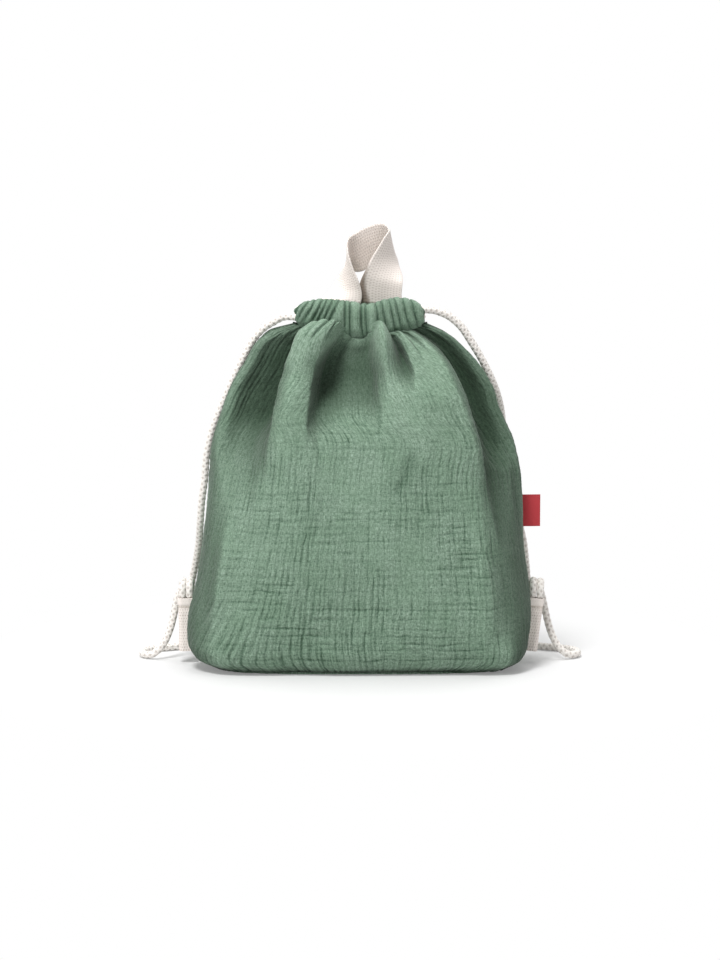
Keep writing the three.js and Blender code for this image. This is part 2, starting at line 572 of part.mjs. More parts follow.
// The rows across the webbing; at each foot the last two round its end off about the hinge line
function handleRows() {
  const step = 0.3 / HANDLE_SEGMENTS;
  const rows = Array.from({ length: HANDLE_SEGMENTS + 1 }, (_, i) => {
    const share = i / HANDLE_SEGMENTS;
    const along = handleFrame(Math.min(1, share + step)).centre.sub(handleFrame(Math.max(0, share - step)).centre);
    const { centre, across } = handleFrame(share);
    const normal = new THREE.Vector3().crossVectors(across, along).normalize();
    if (i === 0 || i === HANDLE_SEGMENTS) normal.set(0, Math.sign(normal.y), 0);
    return { centre, across, offset: normal.multiplyScalar(WEBBING_THICKNESS / 2) };
  });
  const rounded = ({ centre, across, offset }, degrees) => {
    const angle = THREE.MathUtils.degToRad(degrees);
    const drop = new THREE.Vector3(0, 0, -Math.sin(angle) * WEBBING_THICKNESS / 2);
    return { centre: centre.clone().add(drop), across, offset: offset.clone().multiplyScalar(Math.cos(angle)) };
  };
  const [first, last] = [rows[0], rows.at(-1)];
  const [slight, steep] = FOOT_ROUNDING;
  return [rounded(first, steep), rounded(first, slight), ...rows, rounded(last, slight), rounded(last, steep)];
}

function handleSolid() {
  const face = (way) => handleRows().map(({ centre, across, offset }) => [-0.5, 0, 0.5].map((place) => centre.clone()
    .addScaledVector(across, place * WEBBING_WIDTH).addScaledVector(offset, way)));
  return sheetSolid(face(1), face(-1));
}

// Label
const labelShare = (LABEL_BOTTOM - panelBottom) / (SEAM_HEIGHT - panelBottom);
const labelX = mix(MOUTH_WIDTH, BODY_WIDTH, widthShare(labelShare)) / 2 + BODY_LEAN * leanShare(labelShare) + SEAM_GAP;

function labelSolid() {
  const fold = LABEL_THICKNESS / 2;
  const shape = new THREE.Shape();
  shape.moveTo(fold, -fold);
  shape.lineTo(LABEL_LENGTH - fold, -fold);
  shape.absarc(LABEL_LENGTH - fold, 0, fold, -Math.PI / 2, Math.PI / 2);
  shape.lineTo(fold, fold);
  shape.absarc(fold, 0, fold, Math.PI / 2, 1.5 * Math.PI);
  return new THREE.ExtrudeGeometry(shape, { depth: LABEL_HEIGHT, bevelEnabled: false, curveSegments: 4, steps: 1 });
}

// Assembly
const gauze = { color: 0x6f8f76, roughness: 0.95, metalness: 0 };
const cotton = { color: 0xe4ded4, roughness: 0.9, metalness: 0 };
const backpack = new THREE.Group();

function add(name, geometry, finish, place = [0, 0, 0]) {
  const mesh = new THREE.Mesh(geometry, new THREE.MeshStandardMaterial(finish));
  mesh.name = name;
  mesh.position.set(...place);
  backpack.add(mesh);
  return mesh;
}

const liningCloth = { color: 0x8aa590, roughness: 0.85, metalness: 0 };
for (const side of ['front', 'back']) {
  add(`${side}_panel`, outerPanel(side), gauze);
  add(`${side}_lining`, lining(side), liningCloth);
  add(`${side}_casing`, casingSolid(side), gauze);
}
add('base_panel', basePlate(0, 0, BASE_THICKNESS), gauze);
add('base_lining', basePlate(GAUZE_THICKNESS + BASE_LINING_ROOM, panelBottom, LINING_THICKNESS), liningCloth);

for (const name of ['left', 'right']) {
  add(`${name}_cord_run`, cordRun(name), cotton);
  add(`${name}_side_cord`, sideCord(name), cotton);
  add(`${name}_slack_cord`, slackCord(name), cotton);
  const addToTab = (piece, geometry) => add(`${name}_${piece}`, geometry.rotateY(hand[name] * TAB_LEAN[name]), cotton,
    [hand[name] * TAB_PLACE[name], 0, TAB_TOP]);
  addToTab('tab', tabRing(0, TAB_WEBBING, TAB_BOTTOM - TAB_TOP, TAB_TOP - TAB_BOTTOM));
  addToTab('tab_stitching', tabRing(SEAM_GAP + STITCH_THICKNESS, STITCH_THICKNESS, -TAB_STITCH_DROP,
    STITCH_THICKNESS));
  addToTab('side_cord_end', tabCordEnd(-hand[name]));
  addToTab('slack_cord_end', tabCordEnd(hand[name]));
}

add('carry_handle', handleSolid(), cotton, handleFoot);
add('side_label', labelSolid(), { color: 0xa8434a, roughness: 0.7, metalness: 0 }, [labelX, 0, LABEL_BOTTOM]);

export default backpack;
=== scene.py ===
"""The looks of the drawstring backpack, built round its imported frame. Lengths are in metres."""
import math

import bpy
import numpy as np
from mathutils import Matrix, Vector


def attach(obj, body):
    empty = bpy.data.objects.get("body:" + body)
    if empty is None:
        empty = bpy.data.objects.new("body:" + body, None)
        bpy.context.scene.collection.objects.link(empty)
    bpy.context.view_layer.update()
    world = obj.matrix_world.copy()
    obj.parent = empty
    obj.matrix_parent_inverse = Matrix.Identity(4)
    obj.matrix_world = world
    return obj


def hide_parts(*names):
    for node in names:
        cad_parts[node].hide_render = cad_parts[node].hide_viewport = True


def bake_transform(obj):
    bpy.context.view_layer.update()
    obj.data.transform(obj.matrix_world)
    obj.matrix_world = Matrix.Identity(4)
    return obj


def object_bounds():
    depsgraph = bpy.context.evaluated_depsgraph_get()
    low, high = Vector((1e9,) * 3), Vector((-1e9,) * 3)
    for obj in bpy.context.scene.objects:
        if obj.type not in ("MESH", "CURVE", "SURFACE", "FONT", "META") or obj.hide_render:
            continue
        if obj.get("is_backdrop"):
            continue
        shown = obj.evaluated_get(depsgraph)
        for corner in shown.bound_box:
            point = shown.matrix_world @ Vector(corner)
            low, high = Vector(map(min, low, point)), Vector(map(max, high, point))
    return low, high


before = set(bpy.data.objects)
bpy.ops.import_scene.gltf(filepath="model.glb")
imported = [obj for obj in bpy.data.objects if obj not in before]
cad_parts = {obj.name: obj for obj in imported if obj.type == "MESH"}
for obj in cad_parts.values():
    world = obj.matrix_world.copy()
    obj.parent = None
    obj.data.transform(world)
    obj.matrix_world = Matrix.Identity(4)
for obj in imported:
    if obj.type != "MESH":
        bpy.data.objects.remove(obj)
cad_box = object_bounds()

# Camera, as far away and as high as the photograph was taken from
CAMERA_DISTANCE = 2.2
CAMERA_ELEVATION = math.radians(8)
CAMERA_AIM = (0.0, 0.0, 0.139)
CAMERA_LENS_MM = 110
CAMERA_SENSOR_MM = 36

# Body: the same outline as the solids
BODY_WIDTH = 0.256
BODY_DEPTH = 0.120
SEAM_HEIGHT = 0.246
SHOULDER_RISE = 0.011
FLOOR_WIDTH = 0.218
FLOOR_DEPTH = 0.092
MOUTH_WIDTH = 0.100
MOUTH_DEPTH = 0.034
BODY_LEAN = 0.0038
SEAM_TUCK = {"left": 0.0064, "right": 0.0042}
TUCK_HALF_WIDTH = 0.06
FOLD_DEPTH = 0.016
FOLD_FADE = 0.1
TANGENT_STEP = 0.004
PANEL_BOTTOM = 0.0008
FLOOR_ROOM = 0.0004
FLOOR_GAP = 0.0018
FLOOR_WAVE = 0.0005
FLOOR_WAVE_LENGTH = 0.011
FLOOR_SHADE = 0.9
FLOOR_SHADE_REACH = (0.002, 0.022)
GROOVE_HALF_WIDTH = 0.0016
GROOVE_DEPTH = 0.0012
TUCK_SHARE = 0.02
DRAWN_SHADE = 350
CALMER_CRINKLE = 0.45
PUFFS_START = 0.90
PUFF_PUSH = 0.001
PUFF_ROUNDING = 0.955
OPEN_PUFF = 0.012
TURN_OUT = 0.0022
TURN_LIFT = 0.0012
TURN_SIDE_LIFT = 0.0006
TURN_SIDES = (0.72, 0.86)
TURN_RISE = 0.0014
TURN_PUFF_SHARE = 0.16
LINING_BOTTOM = 0.0032
LINING_ROOM = 0.0045
LINING_TOP_ROOM = 0.004
LINING_REACH = 0.10
LINING_ROUNDS = 3
LINING_SOFTNESS = 4
LINING_TOP_SHARE = 0.984
LINING_THICKNESS = 0.0006
BASE_MIDDLE = 0.01

# Layers of the base: height of the underside, thickness, inset from the edge, share of the crinkle below
BASE_LAYERS = {"base_panel": (0.0, 0.0014, 0.0, 0.5), "base_lining": (0.0019, 0.001, 0.0038, 0.0)}

# Cords and casings
CORD_DIAMETER = 0.005
CORD_RISE = 0.0186
CORD_SPACING = 0.0053
CORD_FULLNESS = 0.0003
FULL_FROM_EXIT = 0.014
FULL_FROM_TAB = 0.008
CORD_END_GAP = 0.0002
EXIT_GAP = 0.0003
HELD_RECESS = 0.0012
TURN_SHARE = 0.8
BRAID_STRANDS = 6
BRAID_PITCH = 0.0135
BRAID_DEPTH = 0.0005
BRAID_SHARPNESS = 6
BRAID_ROUNDNESS = 0.8
CASING_INSET = 0.004
CASING_TIP = 0.001
CASING_END_ANGLE = math.radians(40)
CASING_THICKNESS = 0.0011
CASING_LIFT = 0.0003
CASING_BULGE = 0.0046
CASING_PLEAT = 0.0038
CASING_SWELL = [(0, 0.42), (0.07, 0.38), (0.25, 0.9), (0.55, 1.0), (0.8, 1.0)]
CASING_ROUNDING = 0.72
CASING_LEAST_ROOM = 0.0002
CASING_CLOTH = 0.07
CASING_CRINKLE = 0.6
INNER_PLEAT_SHARE = 0.4
GATHER = 2.4
PLEATS_START = 0.88
PLEAT_DEPTH = 0.0022
PLEAT_SWAY = 0.0009
WIDE_PLEAT = 0.009
RUFFLE_RISE = 0.032
RUFFLE_DIP = 0.0014
HANDLE_DIP = 0.0064

# Corner tabs
TAB_BOTTOM = 0.009
TAB_TOP = 0.0495
TAB_PLACE = {"left": 0.1312, "right": 0.1326}
TAB_LEAN = {"left": math.radians(1), "right": math.radians(7)}
TAB_HALF_DEPTH = 0.0037
TAB_HALF_WIDTH = 0.00635
TAB_WALL = 0.0009
TAB_DRAW = 0.0003
TAB_DRAW_REACH = 0.0011
TAB_HEM = 0.00035
TAB_STITCH_DROP = 0.0067
TAB_END_RECESS = 0.003
STITCH_LENGTH = 0.0024
STITCH_RADIUS = 0.00022
HUMP_START = 0.0023
HUMP_RADIUS = 0.009
HUMP_ANGLES = (30, 60, 90, 120, 150, 180)

# Handle and label
WEBBING_WIDTH = 0.030
WEBBING_THICKNESS = 0.0016
SELVEDGE_WIDTH = 0.0012
SELVEDGE_DROP = 0.0003
RIB_SPACING = 0.0022
RIB_PITCH = 0.0019
RIB_DEPTH = 0.00022
HANDLE_FOOT = (0.0, 0.013, 0.2727)
HANDLE_SEAM_DEPTH = 0.0024
LEG_TURN = (0.011, 0.025)
LEG_PUSHES = ((0.0010, -0.0022), (-0.0012, 0.0028))
STRIP_SHADE = 0.92
SHADE_WIDTH = 0.0076
SHADE_LENGTH = 0.026
SHADE_INNER_EDGE = 0.0022
SHADE_OUTER_EDGE = 0.0012
LOOP_SHADE = 0.12
LOOP_START = (3.8, 5.2)
LOOP_END = (10, 11.2)
LABEL_ROOT = (0.1206, 0.0, 0.104)
LABEL_LENGTH = 0.0147
LABEL_HEIGHT = 0.024
LABEL_FOLD = 0.0005
LABEL_HALF_GAP = 0.00028
LABEL_HALF_THICKNESS = 0.00012
LABEL_BOWS = (0.00022, 0.00018)
LABEL_BEND = 0.0009
LABEL_EDGE = (0.0009, 0.0006)
LABEL_EDGE_RISE = 0.00005
TWILL_SPACING = 0.0009
TWILL_DEPTH = 0.00004

# Waves of the cloth, by height and by the length of their cells round and up it
WARP_SWAY = [(0.0010, 0.070, 0.060), (0.0005, 0.008, 0.007)]
WEFT_SWAY = [(0.0009, 0.060, 0.060), (0.0006, 0.006, 0.008)]
SWELL = [(0.00022, 0.0030, 0.0034), (0.00014, 0.0016, 0.0017)]
DENTS = [(0.0027, 0.052, 0.045), (0.0012, 0.024, 0.03)]
LINING_WAVES = [(0.0005, 0.03, 0.05), (0.0003, 0.008, 0.03)]

# Creases of the crinkle: spacing, sway, reach, half width, shift, depth, shade and the power of the shade
FINE_SPACING = 0.0021
FINE_DEPTH = 0.00030
UPRIGHT_CREASES = [
    (0.0044, 0.20, 0.018, 0.00095, 0, 0.00072, 0.72, 1.5),
    (FINE_SPACING, 0.35, 0.010, 0.00055, 0.003, FINE_DEPTH, 0.50, 1),
]
CROSS_CREASES = [
    (0.0062, 0.18, 0.020, 0.00085, 0, 0.00062, 0.62, 1.5),
    (FINE_SPACING * 1.3, 0.35, 0.008, 0.00060, 0.002, 0.7 * FINE_DEPTH, 0.48, 1),
]
CROSS_FADE = (0.12, 0.2)
FEWER_CROSS_HIGH = 0.55
FEWER_CROSS_ASIDE = 0.65
CORNER_DRAW = 0.030
CORNER_DRAW_TOP = 0.36

# Patches with deeper or shallower creases: middle, change, cell length round and up, least and most
UPRIGHT_PATCHES = (0.80, 0.50, 0.050, 0.045, 0.35, 1.2)
CROSS_PATCHES = (0.68, 0.42, 0.040, 0.030, 0.25, 1.0)

# Sizes of the cloth as it was cut
HALF_GIRTH = 0.172

# Seeds of the noise, one for each piece or pair of waves
SEEDS = {
    "front_panel": 11, "back_panel": 61, "front_casing": 31, "back_casing": 81, "front_pleats": 91,
    "back_pleats": 92, "front_lining": 131, "back_lining": 151, "base_panel": 201, "base_lining": 211,
    "left_tab": 301, "right_tab": 302,
}

# Colours and weave
SPECULAR_LEVEL = 0.25
SHEEN_ROUGHNESS = 0.5
WAVE_SCALE = 0.31416
GAUZE_THREAD_MM = 0.62
THREAD_STRETCHES = ((1.6, 0.5), (0.6, 1.5))
CROSS_THREAD_SHARE = 0.42
# Painted shade: colours that the cloth's creases, its recesses and the handle's hidden strip are multiplied
# by
CREASE_SHADE = (0.30, 0.38, 0.33, 1)
RECESS_SHADE = (0.09, 0.135, 0.095, 1)
COTTON_SHADE = (0.27, 0.235, 0.20, 1)

# Lamps by place, aim, size and power, then the light from all round and the floor
LAMPS = {
    "key": ((-0.55, -1.05, 2.25), (0, 0, 0.14), 0.7, 47),
    "top": ((0.1, 0.45, 2.0), (0, 0, 0.1), 1.2, 20),
    "fill": ((-1.5, -1.5, 0.55), (0, 0, 0.12), 0.9, 6),
}
AMBIENT = 0.42
FLOOR_COLOUR = (0.74, 0.74, 0.74, 1)
FLOOR_FADE = (0.15, 0.30)
FLOOR_GLOW = 0.20
FLOOR_RADIUS = 4.0
FLOOR_DROP = 0.0002

# Fineness of the meshes
PANEL_COLUMNS = 440
PANEL_ROWS = 330
TUCK_ROWS = 10
OUTLINE_SAMPLES = 1400
SECTION_SAMPLES = 900
SECTION_SOFTNESS = 5
CASING_STATIONS = 240
CASING_FACE_STEPS = 30
LINING_COLUMNS = 120
LINING_ROWS = 90
LINING_SOURCE_COLUMNS = 500
BASE_COLUMNS = 240
BASE_RINGS = 60
HANDLE_COLUMNS = 56
TAB_COLUMNS = 120
TAB_ROWS = 90
LABEL_COLUMNS = 64
LABEL_ROWS = 60
CORD_SIDES = 36
CORD_RING_STEP = 0.00048
CURVE_STEPS = 24
NOISE_CELLS = 64

turn_radius = MOUTH_DEPTH / 2 - CASING_INSET
half_straight = MOUTH_WIDTH / 2 - turn_radius - CASING_TIP
casing_half_length = half_straight + turn_radius * CASING_END_ANGLE
cord_height = SEAM_HEIGHT + CORD_RISE
cord_level = {"left": cord_height - CORD_SPACING / 2, "right": cord_height + CORD_SPACING / 2}
ruffle_top = SEAM_HEIGHT + RUFFLE_RISE
hand = {"left": -1, "right": 1}
outward_of = {"front": -1, "back": 1}

# Rows: height share, width and depth shares from mouth to belly, squareness, sideways lean share
BODY_PROFILE = [
    (0, (FLOOR_WIDTH - MOUTH_WIDTH) / (BODY_WIDTH - MOUTH_WIDTH),
     (FLOOR_DEPTH - MOUTH_DEPTH) / (BODY_DEPTH - MOUTH_DEPTH), 4.0, 0),
    (0.03, 0.92, 0.86, 3.9, -0.3),
    (0.075, 0.985, 0.955, 3.8, -0.5),
    (0.15, 1, 1, 3.6, -0.2),
    (0.25, 0.96, 1, 3.4, 0.3),
    (0.38, 0.895, 1, 3.2, 0.45),
    (0.5, 0.865, 0.99, 3.0, 0.9),
    (0.6, 0.838, 0.945, 2.9, 1),
    (0.66, 0.81, 0.91, 2.9, 0.85),
    (0.755, 0.705, 0.8, 2.7, 0.65),
    (0.835, 0.565, 0.645, 2.6, 0.4),
    (0.895, 0.435, 0.49, 2.5, 0.2),
    (0.945, 0.31, 0.33, 2.4, -0.6),
    (0.98, 0.18, 0.15, 2.3, -0.9),
    (1, 0, 0, 2.3, 0),
]

# The front cloth in sections: places from seam (-1) to seam (1), then at each height share the points in
# millimetres, across and out to the front, that the cloth passes through at those places
MM = 0.001
SECTION_PLACES = [-1, -0.90, -0.78, -0.66, -0.56, -0.50, -0.46, -0.38, -0.29, -0.25, -0.19, -0.06, 0.06,
                  0.105, 0.18, 0.27, 0.36, 0.50, 0.60, 0.655, 0.68, 0.73, 0.84, 0.92, 1]
SECTIONS = [
    (0.60, [(-112.5, 12), (-107, 25), (-94, 33), (-83, 39.5), (-75, 46), (-67, 51.5), (-55, 56), (-42, 56),
            (-35, 55), (-27, 54), (-9, 55), (10, 56), (17, 57.5), (30, 58.5), (44, 57.5), (56, 56), (77, 53),
            (87.5, 49), (92.5, 44), (93.5, 38), (101, 31), (112, 23), (119, 12)]),
    (0.70, [(-109.5, 8), (-104, 18), (-91, 20), (-79.5, 26), (-71, 39), (-67, 48.5), (-55, 55), (-41, 54),
            (-36, 52), (-30, 49.5), (-12, 50.5), (7, 52), (15, 54), (28, 55.5), (42, 55), (53, 54.5),
            (71, 52), (83.5, 48.5), (88.5, 42), (85, 29), (92, 14), (107, 13), (114, 8)]),
    (0.78, [(-103, 6), (-97, 12), (-84, 8.5), (-65, 9), (-60, 31), (-64, 45), (-53, 52), (-40, 50),
            (-37, 43), (-31, 36.5), (-12, 40), (7, 43.5), (14.5, 48), (27, 52), (38, 51), (48, 52), (65, 49),
            (77.5, 45.5), (82, 38), (77, 24), (84, 9), (98, 10), (104.5, 6)]),
    (0.835, [(-97, 5), (-91.5, 10), (-79, 5.5), (-60, 6), (-56, 25), (-61, 40), (-50, 49), (-38, 46),
             (-35, 34), (-29, 21), (-12, 27), (7, 33), (13.5, 43), (24.5, 49), (35.5, 47), (44, 49),
             (59, 47), (71.5, 43.5), (77, 35), (71, 21), (78, 5), (93, 8), (99.5, 5)]),
    (0.88, [(-89, 5), (-84, 9), (-73, 5), (-57, 5.5), (-53.5, 21), (-58.5, 36), (-48, 44), (-37, 41),
            (-34, 29), (-28, 12), (-11, 19), (7.5, 25), (13, 37), (22, 43), (34, 39), (42, 43), (54, 41),
            (65.5, 38.5), (71, 30), (65, 17), (72, 3.5), (85, 7), (91, 4)]),
    (0.92, [(-82, 4), (-78, 8), (-68, 4.5), (-53, 5), (-50, 18), (-55.5, 32), (-45, 40), (-35, 36),
            (-31, 24), (-25, 9.5), (-10, 17), (6, 21.5), (12, 31), (20.5, 38), (33, 29), (41, 37), (50, 35),
            (58.5, 32.5), (64, 26), (59, 14), (65, 3.5), (77, 6), (81, 4)]),
    (0.955, [(-75, 4), (-71, 7.5), (-61, 4.5), (-48.5, 5), (-45.5, 16), (-50.5, 28), (-40, 36), (-29, 33),
             (-25, 21), (-20, 10), (-8, 15.5), (5.5, 18.5), (11, 27), (18.5, 34), (29, 19), (36, 30),
             (44, 29), (51, 26.5), (56.5, 21), (52.5, 12), (57.5, 4.5), (68, 6), (71, 4)]),
    (0.982, [(-64, 4), (-60, 7), (-52, 8), (-44.5, 8), (-43, 14), (-46, 23.5), (-34, 31), (-22, 28),
             (-18, 20), (-14, 13.5), (-5, 16), (6.5, 17.5), (10.5, 24), (17, 29.5), (25.5, 16), (31.5, 25),
             (38, 24), (43.5, 21), (48, 17), (47, 11.5), (50.5, 6.5), (58, 6), (61, 4)]),
    (1.0, [(-48.5, 5), (-46, 8), (-44, 10), (-41.5, 11), (-40, 13), (-38, 18), (-29, 23), (-17, 21),
           (-13, 16), (-10, 14), (-2, 15), (6.5, 16), (10.5, 19), (16, 23), (22.5, 14), (28, 18), (32.5, 17),
           (36, 15), (40, 12.5), (42, 10.5), (44, 8.5), (47, 6), (49, 4)]),
]
SECTIONS_START = 0.36

# Where the front cloth bulges near the floor: place, height share, the reach of each, and the push across and
# out in millimetres
BOTTOM_PUSHES = [
    (0.68, 0.03, 0.14, 0.07, 5, 7),
    (-0.62, 0.03, 0.20, 0.07, -2, 6),
    (0.57, 0.25, 0.055, 0.2, 1, 4.5),
    (0.78, 0.27, 0.10, 0.2, 0, -3.5),
    (-0.66, 0.28, 0.05, 0.15, -1.5, 3.5),
]

# The back's folds: rows of height share, place from seam (-1) to seam (1), depth share and half width, where
# out is positive
BACK_FOLDS = [
    [(0.42, -0.66, 0, 0.13), (0.62, -0.64, -0.75, 0.1), (0.8, -0.62, -1.15, 0.09), (0.92, -0.64, -0.8, 0.1),
     (1, -0.8, 0, 0.12)],
    [(0.4, -0.42, 0, 0.15), (0.6, -0.4, 0.4, 0.12), (0.8, -0.36, 0.6, 0.1), (0.93, -0.34, 0.55, 0.1),
     (1, -0.36, 0, 0.12)],
    [(0.6, -0.14, 0, 0.08), (0.78, -0.13, -0.7, 0.07), (0.92, -0.12, -0.8, 0.08), (1, -0.1, 0, 0.1)],
    [(0.5, 0.07, 0, 0.12), (0.7, 0.06, 0.4, 0.09), (0.9, 0.06, 0.6, 0.09), (1, 0.08, 0, 0.1)],
    [(0.55, 0.22, 0, 0.08), (0.75, 0.21, -0.65, 0.07), (0.91, 0.2, -0.8, 0.07), (1, 0.24, 0, 0.1)],
    [(0.42, 0.4, 0, 0.14), (0.62, 0.38, 0.4, 0.1), (0.8, 0.35, 0.6, 0.1), (0.93, 0.34, 0.5, 0.1),
     (1, 0.36, 0, 0.12)],
    [(0.45, 0.66, 0, 0.13), (0.65, 0.63, -0.7, 0.1), (0.82, 0.6, -1.1, 0.09), (0.93, 0.62, -0.8, 0.1),
     (1, 0.8, 0, 0.12)],
]

# Puffs that rise in front of the casing: place along the mouth from its middle, rise, half width
PUFFS = {
    "front": [(-0.0200, 0.0155, 0.0088), (0.0098, 0.0145, 0.0046), (0.0225, 0.0055, 0.0052),
              (-0.0380, 0.003, 0.004)],
    "back": [(-0.022, 0.005, 0.008), (0.004, 0.006, 0.007), (0.025, 0.005, 0.007)],
}

# Where the pleats of the gathered mouth meet, at the top and at the foot, by distance from its middle
PLEAT_LINES = {
    "front": [(-0.0520, -0.0520), (-0.0425, -0.0495), (-0.0375, -0.0475), (-0.0330, -0.0440),
              (-0.0265, -0.0405), (-0.0225, -0.0365), (-0.0185, -0.0325), (-0.0145, -0.0285),
              (-0.0112, -0.0118), (-0.0072, -0.0075), (0.0012, 0.0026), (0.0046, 0.0056), (0.0112, 0.0148),
              (0.0150, 0.0205), (0.0195, 0.0275), (0.0235, 0.0330), (0.0300, 0.0385), (0.0364, 0.0425),
              (0.0435, 0.0470), (0.0520, 0.0520)],
    "back": [(-0.0520, -0.0520), (-0.0450, -0.0465), (-0.0395, -0.0415), (-0.0340, -0.0372),
             (-0.0275, -0.0310), (-0.0225, -0.0250), (-0.0180, -0.0198), (-0.0118, -0.0124),
             (-0.0066, -0.0070), (0.0002, 0.0002), (0.0052, 0.0058), (0.0110, 0.0120), (0.0165, 0.0185),
             (0.0212, 0.0240), (0.0280, 0.0315), (0.0332, 0.0365), (0.0395, 0.0420), (0.0448, 0.0465),
             (0.0520, 0.0520)],
}

# The top edge of the casing: rows of share along it, and the drop from its highest point
RUFFLE_EDGE = {
    "front": [(-1, 0.0075), (-0.93, 0.004), (-0.75, 0.0016), (-0.5, 0.001), (-0.2, 0.0025), (0.12, 0.0055),
              (0.35, 0.002), (0.6, 0), (0.8, 0.001), (0.94, 0.004), (1, 0.0075)],
    "back": [(-1, 0.008), (-0.88, 0.005), (-0.74, HANDLE_DIP), (0.76, HANDLE_DIP), (0.89, 0.0046),
             (1, 0.008)],
}

# Single long creases of the front: points across and up in millimetres, half width and depth
LONG_CREASES = [
    ([(20, 271), (27, 264), (40, 255), (57, 243), (66, 234)], 0.9, 1.7),
    ([(25, 272), (33, 264.5), (46, 255.5), (62, 244), (70, 236)], 0.8, 1.4),
    ([(13.5, 205), (14, 190), (13, 176)], 1.6, 1.2),
    ([(-17, 268), (-22, 263), (-29, 257), (-38, 247)], 1.0, 1.9),
    ([(-13, 267), (-16.5, 261), (-21, 254), (-26, 246)], 1.0, 1.6),
    ([(-25, 268), (-31, 262), (-38, 255), (-44, 245)], 0.9, 1.5),
    ([(-27, 50), (0, 50), (35, 51)], 1.2, 0.7),
    ([(-42, 43), (-20, 44), (-10, 43)], 1.2, 0.6),
    ([(-50, 32), (-15, 32), (24, 33)], 1.2, 0.7),
    ([(41, 170), (34, 150), (22, 132)], 5.0, 1.0),
    *[([(4 * i - 104, 64 - 4 * i), (4 * i - 112, 48 - 5 * i), (4 * i - 121, 30 - 4.5 * i)], 0.9, 0.8)
      for i in range(7)],
]

# How much the open sky that the folds hide darkens the cloth, by place from seam to seam
RECESS_START = 0.16
RECESS_SOFTNESS = 1.6
RECESS_GAIN = {
    "front": [(-1, 1.7), (-0.88, 3.0), (-0.78, 4.2), (-0.50, 4.2), (-0.40, 2.8), (-0.2, 2.8), (0, 2.9),
              (0.2, 2.7), (0.62, 3.2), (0.68, 7.4), (0.82, 5.6), (0.93, 3.2), (1, 1.9)],
    "back": [(-1, 0.2), (-0.9, 0.5), (-0.75, 2.6), (0.75, 2.6), (0.9, 0.5), (1, 0.2)],
}

# The handle's two edges from its left foot round to its right foot: inner edge, then outer edge
HANDLE_STATIONS = [
    ((-0.0001, 0, 0), (-0.0301, 0, 0)),
    ((-0.0006, -0.001, 0.009), (-0.0245, 0.015, 0.0045)),
    ((-0.0023, -0.003, 0.017), (-0.020, 0.0205, 0.0105)),
    ((-0.0057, -0.004, 0.026), (-0.0158, 0.023, 0.017)),
    ((-0.0088, -0.003, 0.0355), (-0.011, 0.024, 0.0225)),
    ((-0.0097, 0.0025, 0.0419), (-0.007, 0.0245, 0.022)),
    ((-0.0082, 0.011, 0.0465), (-0.0035, 0.024, 0.0198)),
    ((-0.0035, 0.0175, 0.0498), (0.0022, 0.0235, 0.0203)),
    ((0.0035, 0.0195, 0.0535), (0.009, 0.0245, 0.024)),
    ((0.011, 0.018, 0.0558), (0.016, 0.026, 0.0275)),
    ((0.018, 0.0125, 0.0562), (0.0215, 0.027, 0.031)),
    ((0.0218, 0.004, 0.0526), (0.0255, 0.0255, 0.0325)),
    ((0.0182, -0.0018, 0.0475), (0.0278, 0.021, 0.030)),
    ((0.0132, -0.0045, 0.039), (0.0295, 0.015, 0.024)),
    ((0.0072, -0.005, 0.029), (0.0318, 0.0075, 0.0175)),
    ((0.0029, -0.0045, 0.0195), (0.0322, 0.002, 0.0125)),
    ((0.0013, -0.002, 0.0095), (0.0314, 0.0005, 0.0055)),
    ((0.0013, 0, 0), (0.0313, 0, 0)),
]

# Free cords, from the casing down to the corner tab, by points on their centre lines
SIDE_CORD = {
    "left": [
        (-0.0565, -0.0032, 0.2619), (-0.064, -0.002, 0.2582), (-0.0716, -0.001, 0.2533), (-0.0788, 0, 0.2456),
        (-0.0866, 0.001, 0.232), (-0.095, 0.0015, 0.2145), (-0.103, 0.002, 0.196), (-0.1105, 0.002, 0.177),
        (-0.115, 0.002, 0.158), (-0.1166, 0.0025, 0.14), (-0.119, 0.004, 0.123), (-0.1206, 0.009, 0.105),
        (-0.1224, 0.02, 0.088), (-0.1254, 0.029, 0.071), (-0.129, 0.034, 0.054),
    ],
    "right": [
        (0.0548, -0.004, 0.2668), (0.0602, -0.0024, 0.265), (0.066, -0.0005, 0.2622), (0.075, 0.002, 0.2544),
        (0.0826, 0.004, 0.2432), (0.0926, 0.0065, 0.2265), (0.101, 0.011, 0.2085), (0.1066, 0.024, 0.189),
        (0.109, 0.035, 0.168), (0.1126, 0.038, 0.141), (0.1162, 0.0365, 0.119), (0.121, 0.03, 0.103),
        (0.1244, 0.026, 0.088), (0.1266, 0.03, 0.071), (0.1284, 0.034, 0.054),
    ],
}
SLACK_CORD_TOP = {
    "left": [
        (-0.0535, 0.0076, 0.2619), (-0.0596, 0.0082, 0.2604), (-0.066, 0.0054, 0.2572),
        (-0.0726, 0.0056, 0.2524), (-0.0796, 0.0068, 0.2446), (-0.087, 0.0092, 0.231),
        (-0.0925, 0.016, 0.214), (-0.096, 0.027, 0.196), (-0.0965, 0.039, 0.176), (-0.0915, 0.0495, 0.152),
        (-0.0855, 0.056, 0.122),
    ],
    "right": [
        (0.054, 0.0076, 0.2668), (0.0605, 0.0082, 0.2652), (0.067, 0.0066, 0.2618), (0.0756, 0.0084, 0.2539),
        (0.0832, 0.0104, 0.2428), (0.0926, 0.0136, 0.226), (0.0976, 0.0215, 0.209), (0.099, 0.033, 0.19),
        (0.0955, 0.0455, 0.168), (0.091, 0.0525, 0.142), (0.0855, 0.057, 0.116),
    ],
}
SIDE_CORD_FOOT = [
    (0.1306, 0.036, 0.04), (0.1314, 0.035, 0.0305), (0.1317, 0.031, 0.0236), (0.1319, 0.025, 0.0222),
    (0.1319, 0.02, 0.0264), (0.1316, 0.0182, 0.034), (0.131, 0.018, 0.044),
]
